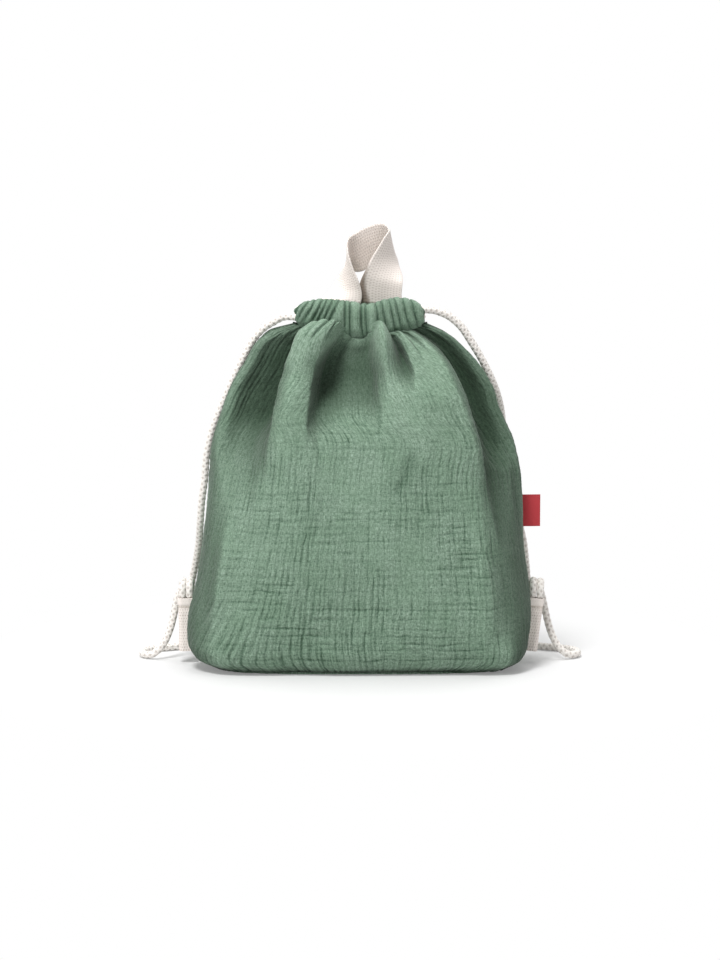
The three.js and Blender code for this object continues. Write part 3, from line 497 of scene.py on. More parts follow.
SLACK_CORD_FOOT = [
    (0.082, 0.06, 0.09), (0.084, 0.061, 0.06), (0.086, 0.0624, 0.03), (0.09, 0.066, 0.011),
    (0.099, 0.068, 0.0032), (0.113, 0.0635, 0.0028), (0.128, 0.0545, 0.0028), (0.142, 0.0465, 0.0028),
    (0.154, 0.0405, 0.0028), (0.163, 0.0335, 0.0028), (0.1662, 0.0245, 0.0028), (0.164, 0.0155, 0.0028),
    (0.157, 0.011, 0.0042), (0.1498, 0.012, 0.011), (0.1446, 0.0142, 0.022), (0.1414, 0.0164, 0.034),
    (0.1388, 0.0178, 0.046),
]


# Curves, noise and meshes
def curve_through(rows, column=1):
    """A smooth curve through the rows' first values and one other column, which never overshoots."""
    places = np.array([row[0] for row in rows], float)
    values = np.array([row[column] for row in rows], float)
    slopes = np.diff(values) / np.diff(places)
    before = np.concatenate([slopes[:1], slopes])
    after = np.concatenate([slopes, slopes[-1:]])
    total = np.where(before * after > 0, before + after, 1)
    tangents = np.where(before * after > 0, 2 * before * after / total, 0)

    def at(place):
        p = np.clip(np.asarray(place, float), places[0], places[-1])
        i = np.clip(np.searchsorted(places, p) - 1, 0, len(slopes) - 1)
        span = places[i + 1] - places[i]
        u = (p - places[i]) / span
        return (values[i] * (1 + 2 * u) * (1 - u) ** 2 + tangents[i] * span * u * (1 - u) ** 2
                + values[i + 1] * u * u * (3 - 2 * u) - tangents[i + 1] * span * u * u * (1 - u))

    return at


def smooth_step(value, start, end):
    share = np.clip((value - start) / (end - start), 0, 1)
    return share * share * (3 - 2 * share)


def bell(value, width):
    return np.exp(-(value / width) ** 2)


def noise(u, v, seed):
    """Smooth noise between -1 and 1, with cells one unit wide."""
    lattice = np.random.default_rng(seed).uniform(-1, 1, (NOISE_CELLS, NOISE_CELLS))
    iu, iv = np.floor(u).astype(int), np.floor(v).astype(int)
    fu, fv = u - iu, v - iv
    fu, fv = fu * fu * (3 - 2 * fu), fv * fv * (3 - 2 * fv)
    corner = lambda a, b: lattice[(iu + a) % NOISE_CELLS, (iv + b) % NOISE_CELLS]
    low = corner(0, 0) * (1 - fu) + corner(1, 0) * fu
    high = corner(0, 1) * (1 - fu) + corner(1, 1) * fu
    return low * (1 - fv) + high * fv


def waves(u, v, rows, seed):
    """A sum of noises: each row holds a height and the length of its cells along u and along v."""
    return sum(height * noise(u / long, v / tall, seed + i) for i, (height, long, tall) in enumerate(rows))


def centripetal(points, steps=CURVE_STEPS):
    """A centripetal Catmull-Rom curve through points, with the same number of steps between any two."""
    knots = np.array(points, float)
    ends = [2 * knots[0] - knots[1], *knots, 2 * knots[-1] - knots[-2]]
    line = []
    for p0, p1, p2, p3 in zip(ends, ends[1:], ends[2:], ends[3:]):
        d0, d1, d2 = (max(np.linalg.norm(b - a), 1e-9) ** 0.5 for a, b in ((p0, p1), (p1, p2), (p2, p3)))
        t1 = ((p1 - p0) / d0 - (p2 - p0) / (d0 + d1) + (p2 - p1) / d1) * d1
        t2 = ((p2 - p1) / d1 - (p3 - p1) / (d1 + d2) + (p3 - p2) / d2) * d1
        u = np.linspace(0, 1, steps, endpoint=False)[:, None]
        line.append(p1 + t1 * u + (3 * (p2 - p1) - 2 * t1 - t2) * u ** 2 + (2 * (p1 - p2) + t1 + t2) * u ** 3)
    return np.vstack([*line, knots[-1:]])


def run_along(line):
    """The distance along a line to each of its points."""
    return np.concatenate([[0], np.cumsum(np.linalg.norm(np.diff(line, axis=0), axis=1))])


def spaced(line, count):
    """A line's points again, evenly spaced."""
    run = run_along(line)
    at = np.linspace(0, run[-1], count)
    return np.stack([np.interp(at, run, values) for values in line.T], axis=1)


def length_of(line):
    return float(np.linalg.norm(np.diff(line, axis=0), axis=1).sum())


def unit(vectors):
    return vectors / np.maximum(np.linalg.norm(vectors, axis=-1, keepdims=True), 1e-12)


def grid_normals(grid):
    """The way out of each point of a grid, whose rows go up and whose columns go round."""
    return unit(np.cross(np.gradient(grid, axis=1), np.gradient(grid, axis=0)))


def mesh_piece(name, points, faces, material, uvs=None, **values):
    """A smooth-shaded mesh object; uvs holds two numbers a point, values a named number a point."""
    mesh = bpy.data.meshes.new(name)
    mesh.from_pydata([tuple(p) for p in points], [], [tuple(f) for f in faces])
    mesh.polygons.foreach_set("use_smooth", np.ones(len(mesh.polygons), bool))
    if uvs is not None:
        corner = np.zeros(len(mesh.loops), np.int32)
        mesh.loops.foreach_get("vertex_index", corner)
        layer = mesh.uv_layers.new(name="cloth")
        layer.data.foreach_set("uv", np.asarray(uvs, np.float32)[corner].ravel())
    for key, numbers in values.items():
        layer = mesh.attributes.new(key, "FLOAT", "POINT")
        layer.data.foreach_set("value", np.asarray(numbers, np.float32).ravel())
    mesh.materials.append(material)
    piece = bpy.data.objects.new(name, mesh)
    bpy.context.scene.collection.objects.link(piece)
    return piece


def layered_piece(name, layers, faces, material, u, v, **values):
    """A closed piece of two layers of points at the same cloth coordinates. Each of the values is a pair:
    one number or grid of numbers for each layer."""
    points = np.vstack([layer.reshape(-1, 3) for layer in layers])
    uvs = np.tile(np.stack([u, v], axis=-1).reshape(-1, 2), (2, 1))
    numbers = {key: np.stack([np.broadcast_to(part, u.shape) for part in pair])
               for key, pair in values.items()}
    return mesh_piece(name, points, faces, material, uvs, **numbers)


def dressed(piece, node_name, body="bag"):
    """The piece rides on its body in place of a solid, which it hides."""
    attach(piece, body)
    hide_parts(node_name)
    return piece


def grid_faces(rows, columns, start=0, flip=False, wrap=False):
    """Four-sided faces of a grid of points; with wrap its last column joins its first."""
    r, c = np.meshgrid(np.arange(rows - 1), np.arange(columns if wrap else columns - 1), indexing="ij")
    r, c = r.ravel() * columns + start, c.ravel()
    n = (c + 1) % columns
    quads = np.stack([r + c, r + n, r + columns + n, r + columns + c], axis=1)
    return (quads[:, ::-1] if flip else quads).tolist()


def shell_faces(rows, columns):
    """Faces of two grids, the second behind the first, closed round their edges."""
    back = rows * columns
    faces = grid_faces(rows, columns) + grid_faces(rows, columns, back, flip=True)
    border = [*range(columns), *(r * columns + columns - 1 for r in range(1, rows)),
              *((rows - 1) * columns + c for c in range(columns - 2, -1, -1)),
              *(r * columns for r in range(rows - 2, 0, -1))]
    for a, b in zip(border, border[1:] + border[:1]):
        faces.append((b, a, a + back, b + back))
    return faces


def sleeve_faces(rows, columns, flip):
    """Faces of two tubes, the second inside the first, closed at both ends."""
    back = rows * columns
    faces = grid_faces(rows, columns, wrap=True, flip=flip)
    faces += grid_faces(rows, columns, back, wrap=True, flip=not flip)
    for row, turn in ((0, False), (rows - 1, True)):
        for k in range(columns):
            a, b = row * columns + k, row * columns + (k + 1) % columns
            rim = (b, a, a + back, b + back)
            faces.append(rim[::-1] if turn != flip else rim)
    return faces


# Materials
def linear(colour):
    """A display colour from 0 to 255 as the shader's linear values."""
    values = [c / 255 for c in colour]
    return (*[c / 12.92 if c <= 0.04045 else ((c + 0.055) / 1.055) ** 2.4 for c in values], 1)


def node(tree, kind, inputs=None, **properties):
    """A new node with its properties and its inputs, each a number, a colour or a socket to link it to."""
    made = tree.nodes.new(kind)
    for key, value in properties.items():
        setattr(made, key, value)
    for key, value in (inputs or {}).items():
        if isinstance(value, bpy.types.NodeSocket):
            tree.links.new(value, made.inputs[key])
        else:
            made.inputs[key].default_value = value
    return made


def mixed(tree, factor, first, second, blend="MIX"):
    """A colour mix of two sockets or colours."""
    mix = node(tree, "ShaderNodeMix", {0: factor, 6: first, 7: second}, data_type="RGBA", blend_type=blend)
    return mix.outputs[2]


def ranged(tree, value, low, high, to_low=0.0, to_high=1.0):
    limits = {"From Min": low, "From Max": high, "To Min": to_low, "To Max": to_high}
    return node(tree, "ShaderNodeMapRange", {"Value": value, **limits}).outputs["Result"]


def painted(tree, name):
    """A number that the mesh holds for each of its points."""
    return node(tree, "ShaderNodeAttribute", attribute_name=name).outputs["Fac"]


def cloth_coordinates(tree, scale):
    """Coordinates along the cloth, where one unit is one thousandth of a metre times scale."""
    uv = node(tree, "ShaderNodeUVMap", uv_map="cloth").outputs["UV"]
    in_mm = (scale[0] / MM, scale[1] / MM, 1)
    return node(tree, "ShaderNodeMapping", {"Vector": uv, "Scale": in_mm}).outputs["Vector"]


def cloth_noise(tree, scale, detail, roughness, stretch=(1, 1)):
    place = cloth_coordinates(tree, stretch)
    settings = {"Vector": place, "Scale": scale, "Detail": detail, "Roughness": roughness}
    return node(tree, "ShaderNodeTexNoise", settings).outputs["Fac"]


def weave_height(tree, spacing_mm):
    """The height of a plain weave: two sets of threads that pass over each other."""
    coordinates = cloth_coordinates(tree, (1 / spacing_mm, 1 / spacing_mm))
    settings = {"Vector": coordinates, "Scale": WAVE_SCALE, "Distortion": 0.8, "Detail": 1.0,
                "Detail Scale": 0.6}
    sets = [node(tree, "ShaderNodeTexWave", settings, wave_type="BANDS", bands_direction=direction,
                 wave_profile="SIN").outputs["Fac"] for direction in ("X", "Y")]
    return node(tree, "ShaderNodeMath", dict(enumerate(sets)), operation="MULTIPLY").outputs[0]


def thread_grain(tree):
    """Uneven threads, longer up the cloth than across it, with a second set that runs across."""
    sets = [cloth_noise(tree, 0.75, 2.0, 0.7, stretch) for stretch in THREAD_STRETCHES]
    return mixed(tree, CROSS_THREAD_SHARE, *sets)


def bumped(tree, height, strength, distance, under=None):
    settings = {"Strength": strength, "Distance": distance, "Height": height}
    if under is not None:
        settings["Normal"] = under
    return node(tree, "ShaderNodeBump", settings).outputs["Normal"]


def new_material(name, colour, roughness, sheen):
    """A plain cloth shader, with its colour where no other is linked to it."""
    material = bpy.data.materials.new(name)
    material.use_nodes = True
    shader = material.node_tree.nodes["Principled BSDF"]
    plain = {"Base Color": linear(colour), "Roughness": roughness, "Specular IOR Level": SPECULAR_LEVEL,
             "Sheen Weight": sheen, "Sheen Roughness": SHEEN_ROUGHNESS}
    for key, value in plain.items():
        shader.inputs[key].default_value = value
    return material, material.node_tree, shader


def gauze_material(name, light, deep, fleck):
    """Crinkled double gauze: mottled, with painted shade in its creases and recesses, and a fine uneven
    weave.
    """
    material, tree, shader = new_material(name, light, 0.92, 0.12)
    patch = ranged(tree, cloth_noise(tree, 0.035, 3.0, 0.55), 0.35, 0.65)
    grain = thread_grain(tree)
    colour = mixed(tree, patch, linear(light), linear(deep))
    colour = mixed(tree, ranged(tree, grain, 0.40, 0.62), colour, linear(fleck))
    colour = mixed(tree, painted(tree, "crease"), colour, CREASE_SHADE, "MULTIPLY")
    colour = mixed(tree, painted(tree, "recess"), colour, RECESS_SHADE, "MULTIPLY")
    tree.links.new(colour, shader.inputs["Base Color"])
    normal = bumped(tree, weave_height(tree, GAUZE_THREAD_MM), 0.35, 0.0002)
    tree.links.new(bumped(tree, grain, 0.6, 0.0008, normal), shader.inputs["Normal"])
    return material


def cotton_material(name, light, deep, spacing_mm):
    """Cotton yarn, with painted shade between its strands."""
    material, tree, shader = new_material(name, light, 0.88, 0.1)
    grain = cloth_noise(tree, 2.2, 3.0, 0.6)
    colour = mixed(tree, ranged(tree, grain, 0.3, 0.7, 0.0, 0.2), linear(light), linear(deep), "MULTIPLY")
    colour = mixed(tree, painted(tree, "crease"), colour, linear(deep))
    colour = mixed(tree, painted(tree, "recess"), colour, COTTON_SHADE, "MULTIPLY")
    tree.links.new(colour, shader.inputs["Base Color"])
    normal = bumped(tree, weave_height(tree, spacing_mm), 0.3, 0.00015)
    tree.links.new(bumped(tree, grain, 0.35, 0.0003, normal), shader.inputs["Normal"])
    return material


gauze = gauze_material("gauze", (152, 174, 156), (138, 163, 142), (98, 124, 103))
lining_cloth = gauze_material("lining", (140, 166, 146), (128, 155, 135), (100, 128, 108))
# Second colours: the darker tone of the uneven yarn, and the painted shade between strands of rope and
# webbing
rope = cotton_material("rope", (247, 243, 238), (160, 149, 141), 0.5)
webbing = cotton_material("webbing", (249, 241, 235), (178, 164, 153), 0.7)
thread = cotton_material("thread", (236, 231, 220), (190, 182, 168), 0.3)
ribbon = cotton_material("ribbon", (196, 68, 74), (140, 42, 52), 0.4)


# Camera, lamps and floor
def placed(name, data, location, aim):
    """A camera or lamp at its place, turned to its aim."""
    item = bpy.data.objects.new(name, data)
    item.location = location
    item.rotation_euler = (Vector(aim) - Vector(location)).to_track_quat("-Z", "Y").to_euler()
    bpy.context.scene.collection.objects.link(item)
    return item


def make_camera():
    data = bpy.data.cameras.new("camera")
    data.lens = CAMERA_LENS_MM
    data.sensor_width = CAMERA_SENSOR_MM
    back = Vector((0, -math.cos(CAMERA_ELEVATION), math.sin(CAMERA_ELEVATION)))
    bpy.context.scene.camera = placed("camera", data, Vector(CAMERA_AIM) + back * CAMERA_DISTANCE, CAMERA_AIM)


def make_lamps():
    for name, (location, aim, size, power) in LAMPS.items():
        data = bpy.data.lights.new(name, "AREA")
        data.shape = "DISK"
        data.size = size
        data.energy = power
        placed(name, data, location, aim)


def seen_as_white(tree):
    """1 for rays that see a surface directly, in a reflection or through glass, and 0 for its light on other
    things."""
    path = tree.nodes.new("ShaderNodeLightPath").outputs
    total = path["Is Camera Ray"]
    for kind in ("Is Glossy Ray", "Is Transmission Ray"):
        terms = {0: total, 1: path[kind]}
        total = node(tree, "ShaderNodeMath", terms, operation="ADD", use_clamp=True).outputs[0]
    return total


def make_world():
    world = bpy.data.worlds.new("world")
    bpy.context.scene.world = world
    world.use_nodes = True
    tree = world.node_tree
    background = tree.nodes["Background"]
    background.inputs["Color"].default_value = (1, 1, 1, 1)
    tree.links.new(ranged(tree, seen_as_white(tree), 0, 1, AMBIENT, 1.0), background.inputs["Strength"])


def make_floor():
    """A white floor with the soft shadow of what stands on it, which fades to plain white further out."""
    material = bpy.data.materials.new("floor")
    material.use_nodes = True
    tree = material.node_tree
    tree.nodes.remove(tree.nodes["Principled BSDF"])
    diffuse = node(tree, "ShaderNodeBsdfDiffuse", {"Color": FLOOR_COLOUR})
    glow = node(tree, "ShaderNodeEmission", {"Color": (1, 1, 1, 1)})
    place = node(tree, "ShaderNodeTexCoord").outputs["Object"]
    spread = node(tree, "ShaderNodeVectorMath", {0: place}, operation="LENGTH").outputs["Value"]
    far = ranged(tree, spread, *FLOOR_FADE, FLOOR_GLOW, 1.0)
    share = node(tree, "ShaderNodeMath", {0: seen_as_white(tree), 1: far}, operation="MULTIPLY").outputs[0]
    mix = node(tree, "ShaderNodeMixShader", {0: share, 1: diffuse.outputs[0], 2: glow.outputs[0]})
    tree.links.new(mix.outputs[0], tree.nodes["Material Output"].inputs["Surface"])
    angle = np.linspace(0, 2 * np.pi, 96, endpoint=False)
    across, out = FLOOR_RADIUS * np.cos(angle), FLOOR_RADIUS * np.sin(angle)
    rim = np.stack([across, out, 0 * angle - FLOOR_DROP], axis=1)
    mesh_piece("floor", rim, [tuple(range(len(rim)))], material)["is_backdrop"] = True


bpy.context.scene.view_settings.view_transform = "Standard"
make_camera()
make_world()
make_floor()
make_lamps()


# Cords
def mouth_line(side, distance):
    """Points on the line that the cords follow round the mouth, and the ways out and along, by distance."""
    distance = np.asarray(distance, float)
    outward = outward_of[side]
    end = np.sign(distance)
    turn = np.maximum(0, (np.abs(distance) - half_straight) / turn_radius)
    straight = np.minimum(half_straight, np.abs(distance))
    out = np.stack([end * np.sin(turn), outward * np.cos(turn)], axis=-1)
    place = np.stack([end * straight + turn_radius * out[..., 0], turn_radius * out[..., 1]], axis=-1)
    along = np.stack([end * np.cos(turn), -outward * np.sin(turn)], axis=-1)
    return place, out, along


def casing_exit(name, side):
    """The first two points of a free cord, straight out of its casing."""
    place, _, along = mouth_line(side, casing_half_length)
    return [(hand[name] * (place[0] + along[0] * past), place[1] + along[1] * past, cord_level[name])
            for past in (EXIT_GAP, CORD_DIAMETER)]


def lean_tab(name, points):
    """Points about the middle of a tab's mouth, leaned and moved to their place."""
    sin, cos = math.sin(TAB_LEAN[name]), math.cos(TAB_LEAN[name])
    x = hand[name] * (TAB_PLACE[name] + points[..., 0] * cos + points[..., 2] * sin)
    return np.stack([x, points[..., 1], TAB_TOP - points[..., 0] * sin + points[..., 2] * cos], axis=-1)


def above_tab(name, way, rise, y=0.0):
    """A place above the mouth of a tab, on the line of its inner cord (-1) or its outer cord (1)."""
    return lean_tab(name, np.array([way * CORD_SPACING / 2, y, rise]))


def into_tab(name, way):
    """The cord's bend over the top of a tab and down to its mouth."""
    bend = [above_tab(name, way, HUMP_START + HUMP_RADIUS * math.sin(a), HUMP_RADIUS * (1 + math.cos(a)))
            for a in np.radians(HUMP_ANGLES)]
    return [*bend, above_tab(name, way, EXIT_GAP)]


def mirrored(points, name):
    return [(hand[name] * x, y, z) for x, y, z in points]


def sideways_of(along):
    """A way square to a line at each of its points, carried along it without twist."""
    side = np.zeros_like(along)
    side[0] = unit(np.cross(along[0], (0.3, 0.2, 0.9)))
    for i in range(1, len(along)):
        side[i] = unit(side[i - 1] - along[i] * (side[i - 1] @ along[i]))
    return side


def braid(angle, run):
    """Strands that run round a rope both ways and pass over each other: their height and the painted shade of
    their gaps.
    """
    turns = run / BRAID_PITCH * 2 * np.pi
    one, two = (BRAID_STRANDS / 2 * (angle + way * turns) for way in (1, -1))
    over = np.sin(one / 2 + two / 2) * np.sin(one / 2 - two / 2)
    pick = 1 / (1 + np.exp(-BRAID_SHARPNESS * over))
    first, second = np.sin(one / 2) ** 2, np.sin(two / 2) ** 2
    height = pick * first ** BRAID_ROUNDNESS + (1 - pick) * second ** BRAID_ROUNDNESS
    edge = pick * np.abs(np.cos(one)) + (1 - pick) * np.abs(np.cos(two))
    return height, np.clip(np.maximum(0.75 - 1.1 * height, 0.55 - 1.3 * edge), 0, 1)


def braided_tube(name, line, fullness=0.0):
    """A round braid along a line, fuller between its ends, and flat where it lies on the floor."""
    count = max(12, int(length_of(line) / CORD_RING_STEP))
    line = spaced(line, count)
    along = unit(np.gradient(line, axis=0))
    side = sideways_of(along)[:, None]
    other = np.cross(along, side[:, 0])[:, None]
    angle = np.linspace(0, 2 * np.pi, CORD_SIDES, endpoint=False)[None, :]
    run = np.linspace(0, length_of(line), count)[:, None]
    height, crease = braid(angle, run)
    full = smooth_step(run, 0, FULL_FROM_EXIT) * smooth_step(run[-1] - run, 0, FULL_FROM_TAB)
    radius = CORD_DIAMETER / 2 + fullness * full - BRAID_DEPTH * (1 - height)
    out = np.cos(angle)[..., None] * side + np.sin(angle)[..., None] * other
    points = (line[:, None] + radius[..., None] * out).reshape(-1, 3)
    points[:, 2] = np.maximum(points[:, 2], 0)
    uvs = np.stack(np.broadcast_arrays(angle * CORD_DIAMETER / 2, run), axis=-1).reshape(-1, 2)
    last = (count - 1) * CORD_SIDES
    faces = grid_faces(count, CORD_SIDES, wrap=True)
    faces += [tuple(range(CORD_SIDES))[::-1], tuple(range(last, last + CORD_SIDES))]
    # Painted shade in the gaps of the braid
    return mesh_piece(name, points, faces, rope, uvs, crease=crease)


def free_cord(node_name, points):
    line = centripetal(points)
    piece = dressed(braided_tube(node_name + "_rope", line, CORD_FULLNESS), node_name)


def held_cord(name):
    """The stretch of a cord that the casings hold, from one side round the far end and back."""
    far = half_straight + turn_radius * math.pi / 2
    distances = np.linspace(HELD_RECESS - casing_half_length, far, 80)
    halves = []
    for side in ("front", "back"):
        place, _, _ = mouth_line(side, distances)
        place[:, 0] -= (1 - TURN_SHARE) * np.maximum(place[:, 0] - half_straight, 0)
        level = 0 * distances + cord_level[name]
        halves.append(np.stack([-hand[name] * place[:, 0], place[:, 1], level], axis=1))
    line = np.vstack([halves[0], halves[1][::-1][1:]])
    dressed(braided_tube(name + "_held_rope", spaced(line, 500)), name + "_cord_run")


def sewn_end(name, way, end):
    """The end of a cord inside its tab."""
    rises = (-CORD_END_GAP, TAB_BOTTOM + TAB_END_RECESS - TAB_TOP)
    line = np.array([above_tab(name, way, rise) for rise in rises])
    dressed(braided_tube(f"{name}_{end}_rope", spaced(line, 40)), f"{name}_{end}")


def make_cords():
    for name in ("left", "right"):
        held_cord(name)
        free_cord(name + "_side_cord", [*casing_exit(name, "front"), *SIDE_CORD[name],
                                        *mirrored(SIDE_CORD_FOOT, name), *into_tab(name, -1)])
        free_cord(name + "_slack_cord", [*casing_exit(name, "back"), *SLACK_CORD_TOP[name],
                                         *mirrored(SLACK_CORD_FOOT, name), *into_tab(name, 1)])
        sewn_end(name, -1, "side_cord_end")
        sewn_end(name, 1, "slack_cord_end")


make_cords()


# Body cloth
width_share, depth_share, squareness, lean_share = (curve_through(BODY_PROFILE, k) for k in (1, 2, 3, 4))
shoulder_share = curve_through([(0, 0), (0.3, 0), (0.8, 0.85), (1, 1)])
shoulder_start = curve_through([(0, 0), (0.74, 0), (0.97, 1), (1, 1)])
tuck_share = curve_through([(0, 0), (0.05, 1), (0.21, 1), (0.36, 0), (1, 0)])
recess_gain = {side: curve_through(rows) for side, rows in RECESS_GAIN.items()}


def half_outline(half_width, half_depth, power):
    """Half an outline from the left seam, round the front, to the right seam."""
    angle = np.pi * (np.linspace(0, 1, OUTLINE_SAMPLES + 1) - 0.5)
    x = half_width * np.sign(np.sin(angle)) * np.abs(np.sin(angle)) ** (2 / power)
    y = half_depth * np.maximum(0, np.cos(angle)) ** (2 / power)
    return np.stack([x, y], axis=1)


half_seam = length_of(half_outline(MOUTH_WIDTH / 2, MOUTH_DEPTH / 2, BODY_PROFILE[-1][3])) / 2


def outline_points(height, shares):
    """Points of the body's outline at one height, at shares of the way along it."""
    wide, deep = width_share(height), depth_share(height)
    line = half_outline(BODY_WIDTH / 2 * wide + MOUTH_WIDTH / 2 * (1 - wide),
                        BODY_DEPTH / 2 * deep + MOUTH_DEPTH / 2 * (1 - deep), squareness(height))
    run = run_along(line)
    at = np.clip(shares, 0, 1) * run[-1]
    return np.stack([np.interp(at, run, values) for values in line.T], axis=-1)


def back_folds(place, height):
    """How far the back's folds move its cloth out of the plain outline, at places of one height."""
    total = np.zeros_like(place)
    for rows in BACK_FOLDS:
        if height > rows[0][0]:
            middle, depth, width = (float(curve_through(rows, k)(height)) for k in (1, 2, 3))
            total += depth * bell(place - middle, width)
    return FOLD_DEPTH * total * smooth_step(1 - np.abs(place), 0, FOLD_FADE)


def bottom_push(place, height):
    """How far the front cloth bulges across and out near the floor."""
    total = np.zeros((len(place), 2))
    for middle, level, wide, tall, across, out in BOTTOM_PUSHES:
        total += MM * (bell(place - middle, wide) * bell(height - level, tall))[:, None] * (across, out)
    return total


def section_shifts():
    """For each place of the front's sections, curves by height of how far it lies from the plain outline."""
    shares = (np.array(SECTION_PLACES) + 1) / 2
    tables = [[(SECTIONS_START, 0.0, 0.0)] for _ in SECTION_PLACES]
    for height, points in SECTIONS:
        plain = outline_points(height, shares) + (BODY_LEAN * lean_share(height), 0)
        wanted = np.array([plain[0], *(np.array(points) * MM), plain[-1]])
        for rows, shift in zip(tables, wanted - plain):
            rows.append((height, *shift))
    return [(curve_through(rows, 1), curve_through(rows, 2)) for rows in tables]


front_shifts = section_shifts()


def pleat_height(side, distance, rise=0.0):
    """The gathered mouth's pleats, by distance along it and share of the casing's height from foot to top: 0
    where two pleats meet, up to 1 on the widest pleat."""
    distance, rise = np.broadcast_arrays(np.asarray(distance, float), np.asarray(rise, float))
    top, foot = np.array(PLEAT_LINES[side]).T
    lines = foot + (top - foot) * rise[..., None]
    d = np.clip(distance, lines[..., 0] + 1e-6, lines[..., -1] - 1e-6)
    i = np.clip((lines <= d[..., None]).sum(axis=-1) - 1, 0, len(top) - 2)
    low = np.take_along_axis(lines, i[..., None], axis=-1)[..., 0]
    wide = np.take_along_axis(lines, i[..., None] + 1, axis=-1)[..., 0] - low
    u = 2 * (d - low) / wide - 1
    return np.maximum(0, 1 - np.abs(u) ** 2.2) ** 0.75 * np.clip(wide / WIDE_PLEAT, 0.25, 1) ** 0.8


def puff_rise(side, distance):
    return sum(rise * np.exp(-np.abs((distance - middle) / width) ** 2.6)
               for middle, rise, width in PUFFS[side])


def seam_tuck(place, height):
    """How far the corner tabs draw the side seams in."""
    depth = np.where(place < 0, SEAM_TUCK["left"], SEAM_TUCK["right"])
    return depth * tuck_share(height) * bell(1 - np.abs(place), TUCK_HALF_WIDTH)


def softened(values, reach):
    """Values along a line, each averaged with its neighbours, with the ends kept."""
    kernel = np.hanning(2 * reach + 3)[1:-1]
    before = 2 * values[:1] - values[reach:0:-1]
    after = 2 * values[-1:] - values[-2:-reach - 2:-1]
    padded = np.concatenate([before, values, after])
    return np.stack([np.convolve(column, kernel / kernel.sum(), "valid") for column in padded.T], axis=1)


def folded_section(side, height):
    """The cloth at one height: its points from seam to seam and their places."""
    place = np.linspace(-1, 1, SECTION_SAMPLES)
    shares = (place + 1) / 2
    here, before, after = (outline_points(height, shares + way * TANGENT_STEP) for way in (0, -1, 1))
    along = unit(after - before)
    out = np.stack([-along[:, 1], along[:, 0]], axis=1)
    tuck = np.stack([np.sign(place) * seam_tuck(place, height), 0 * place], axis=1)
    if side == "front":
        rows = [(p, *(float(shift(height)) for shift in pair))
                for p, pair in zip(SECTION_PLACES, front_shifts)]
        shift = np.stack([curve_through(rows, k)(place) for k in (1, 2)], axis=1) + bottom_push(place, height)
    else:
        shift = out * back_folds(place, height)[:, None]
    pleats = PLEAT_DEPTH * pleat_height(side, place * half_seam) * smooth_step(height, PLEATS_START, 1.0)
    points = here - tuck + shift + out * pleats[:, None] + (BODY_LEAN * lean_share(height), 0)
    return softened(points, SECTION_SOFTNESS), place


def hidden_share(x, out):
    """How much of the open half circle in front of each point of a section the rest of the section hides."""
    across, up = x[None, :] - x[:, None], out[None, :] - out[:, None]
    angle = np.arctan2(up, np.abs(across) + 1e-6)
    right = np.where(across > 0, angle, 0).max(axis=1)
    left = np.where(across < 0, angle, 0).max(axis=1)
    return (right + left) / np.pi


def body_points(side, columns, rows, bottom):
    """The cloth's surface in rows of one height each, with even columns, and the places of its points."""
    height = np.linspace(0, 1, rows)
    grid, places = np.zeros((rows, columns, 3)), np.zeros((rows, columns))
    for r, h in enumerate(height):
        points, place = folded_section(side, h)
        run = run_along(points)
        at = np.linspace(0, run[-1], columns)
        x, out, places[r] = (np.interp(at, run, values) for values in (*points.T, place))
        grid[r, :, 0], grid[r, :, 1] = x, outward_of[side] * out
    lift = SHOULDER_RISE * shoulder_share(np.abs(places)) * shoulder_start(height[:, None])
    grid[..., 2] = bottom + (SEAM_HEIGHT - bottom) * height[:, None] + lift
    return grid, places


# Crinkle of the cloth
def wandering_lines(across, along, spacing, sway, reach, width, seed):
    """Creases that each wander by themselves and fade in and out: how near each point is to one, up to 1."""
    total = np.zeros_like(across)
    nearest = np.floor(across / spacing)
    for step in (-1, 0, 1, 2):
        line = nearest + step
        own = line * 7.31
        shift = sway * noise(own, along / reach, seed) + 0.25 * noise(own, 0 * along, seed + 1)
        middle = (line + shift) * spacing
        strength = np.clip(0.62 + 0.55 * noise(own + 31.7, along / (0.7 * reach), seed + 2), 0.14, 1.1)
        thick = width * (0.95 + 0.3 * noise(own + 11.3, along / (0.5 * reach), seed + 3))
        total = np.maximum(total, strength * bell(across - middle, thick))
    return total


def crease_sets(rows, across, along, seed):
    """The depth and the shade of some sets of creases, which lie side by side across and run along."""
    depth = shade = 0
    for i, (spacing, sway, reach, width, shift, deep, dark, power) in enumerate(rows):
        near = wandering_lines(across + shift, along, spacing, sway, reach, width, seed + 10 * i)
        depth = depth + deep * near
        shade = shade + dark * near ** power
    return depth, shade


def patches(s, t, row, seed):
    """Patches of the cloth where its creases are deeper or shallower."""
    middle, change, long, tall, least, most = row
    return np.clip(middle + change * noise(s / long, t / tall, seed), least, most)


def crinkle(s, t, seed, drawn=0.0, sides=0.0):
    """The crinkle of double gauze at places s round and t up the cloth: its height and the painted shade of
    its creases.
    """
    across, up = s + drawn + waves(s, t, WARP_SWAY, seed), t + waves(s, t, WEFT_SWAY, seed + 2)
    patch = patches(s, t, UPRIGHT_PATCHES, seed + 4)
    fewer = (1 - FEWER_CROSS_HIGH * smooth_step(t, *CROSS_FADE)) * (1 - FEWER_CROSS_ASIDE * sides)
    cross = patches(s, t, CROSS_PATCHES, seed + 5) * fewer
    up_depth, up_shade = crease_sets(UPRIGHT_CREASES, across, t, seed + 10)
    cross_depth, cross_shade = crease_sets(CROSS_CREASES, up, s, seed + 30)
    height = waves(s, t, SWELL, seed + 6) - patch * up_depth - cross * cross_depth
    return height, np.clip(patch * up_shade + cross * cross_shade, 0, 1)


def corner_draw(place, height):
    """How far the creases lean out towards the lower left corner, where the cloth is drawn round it."""
    low = np.clip((CORNER_DRAW_TOP - height) / CORNER_DRAW_TOP, 0, 1)
    return CORNER_DRAW * smooth_step(-place, 0.1, 0.8) * low ** 1.6


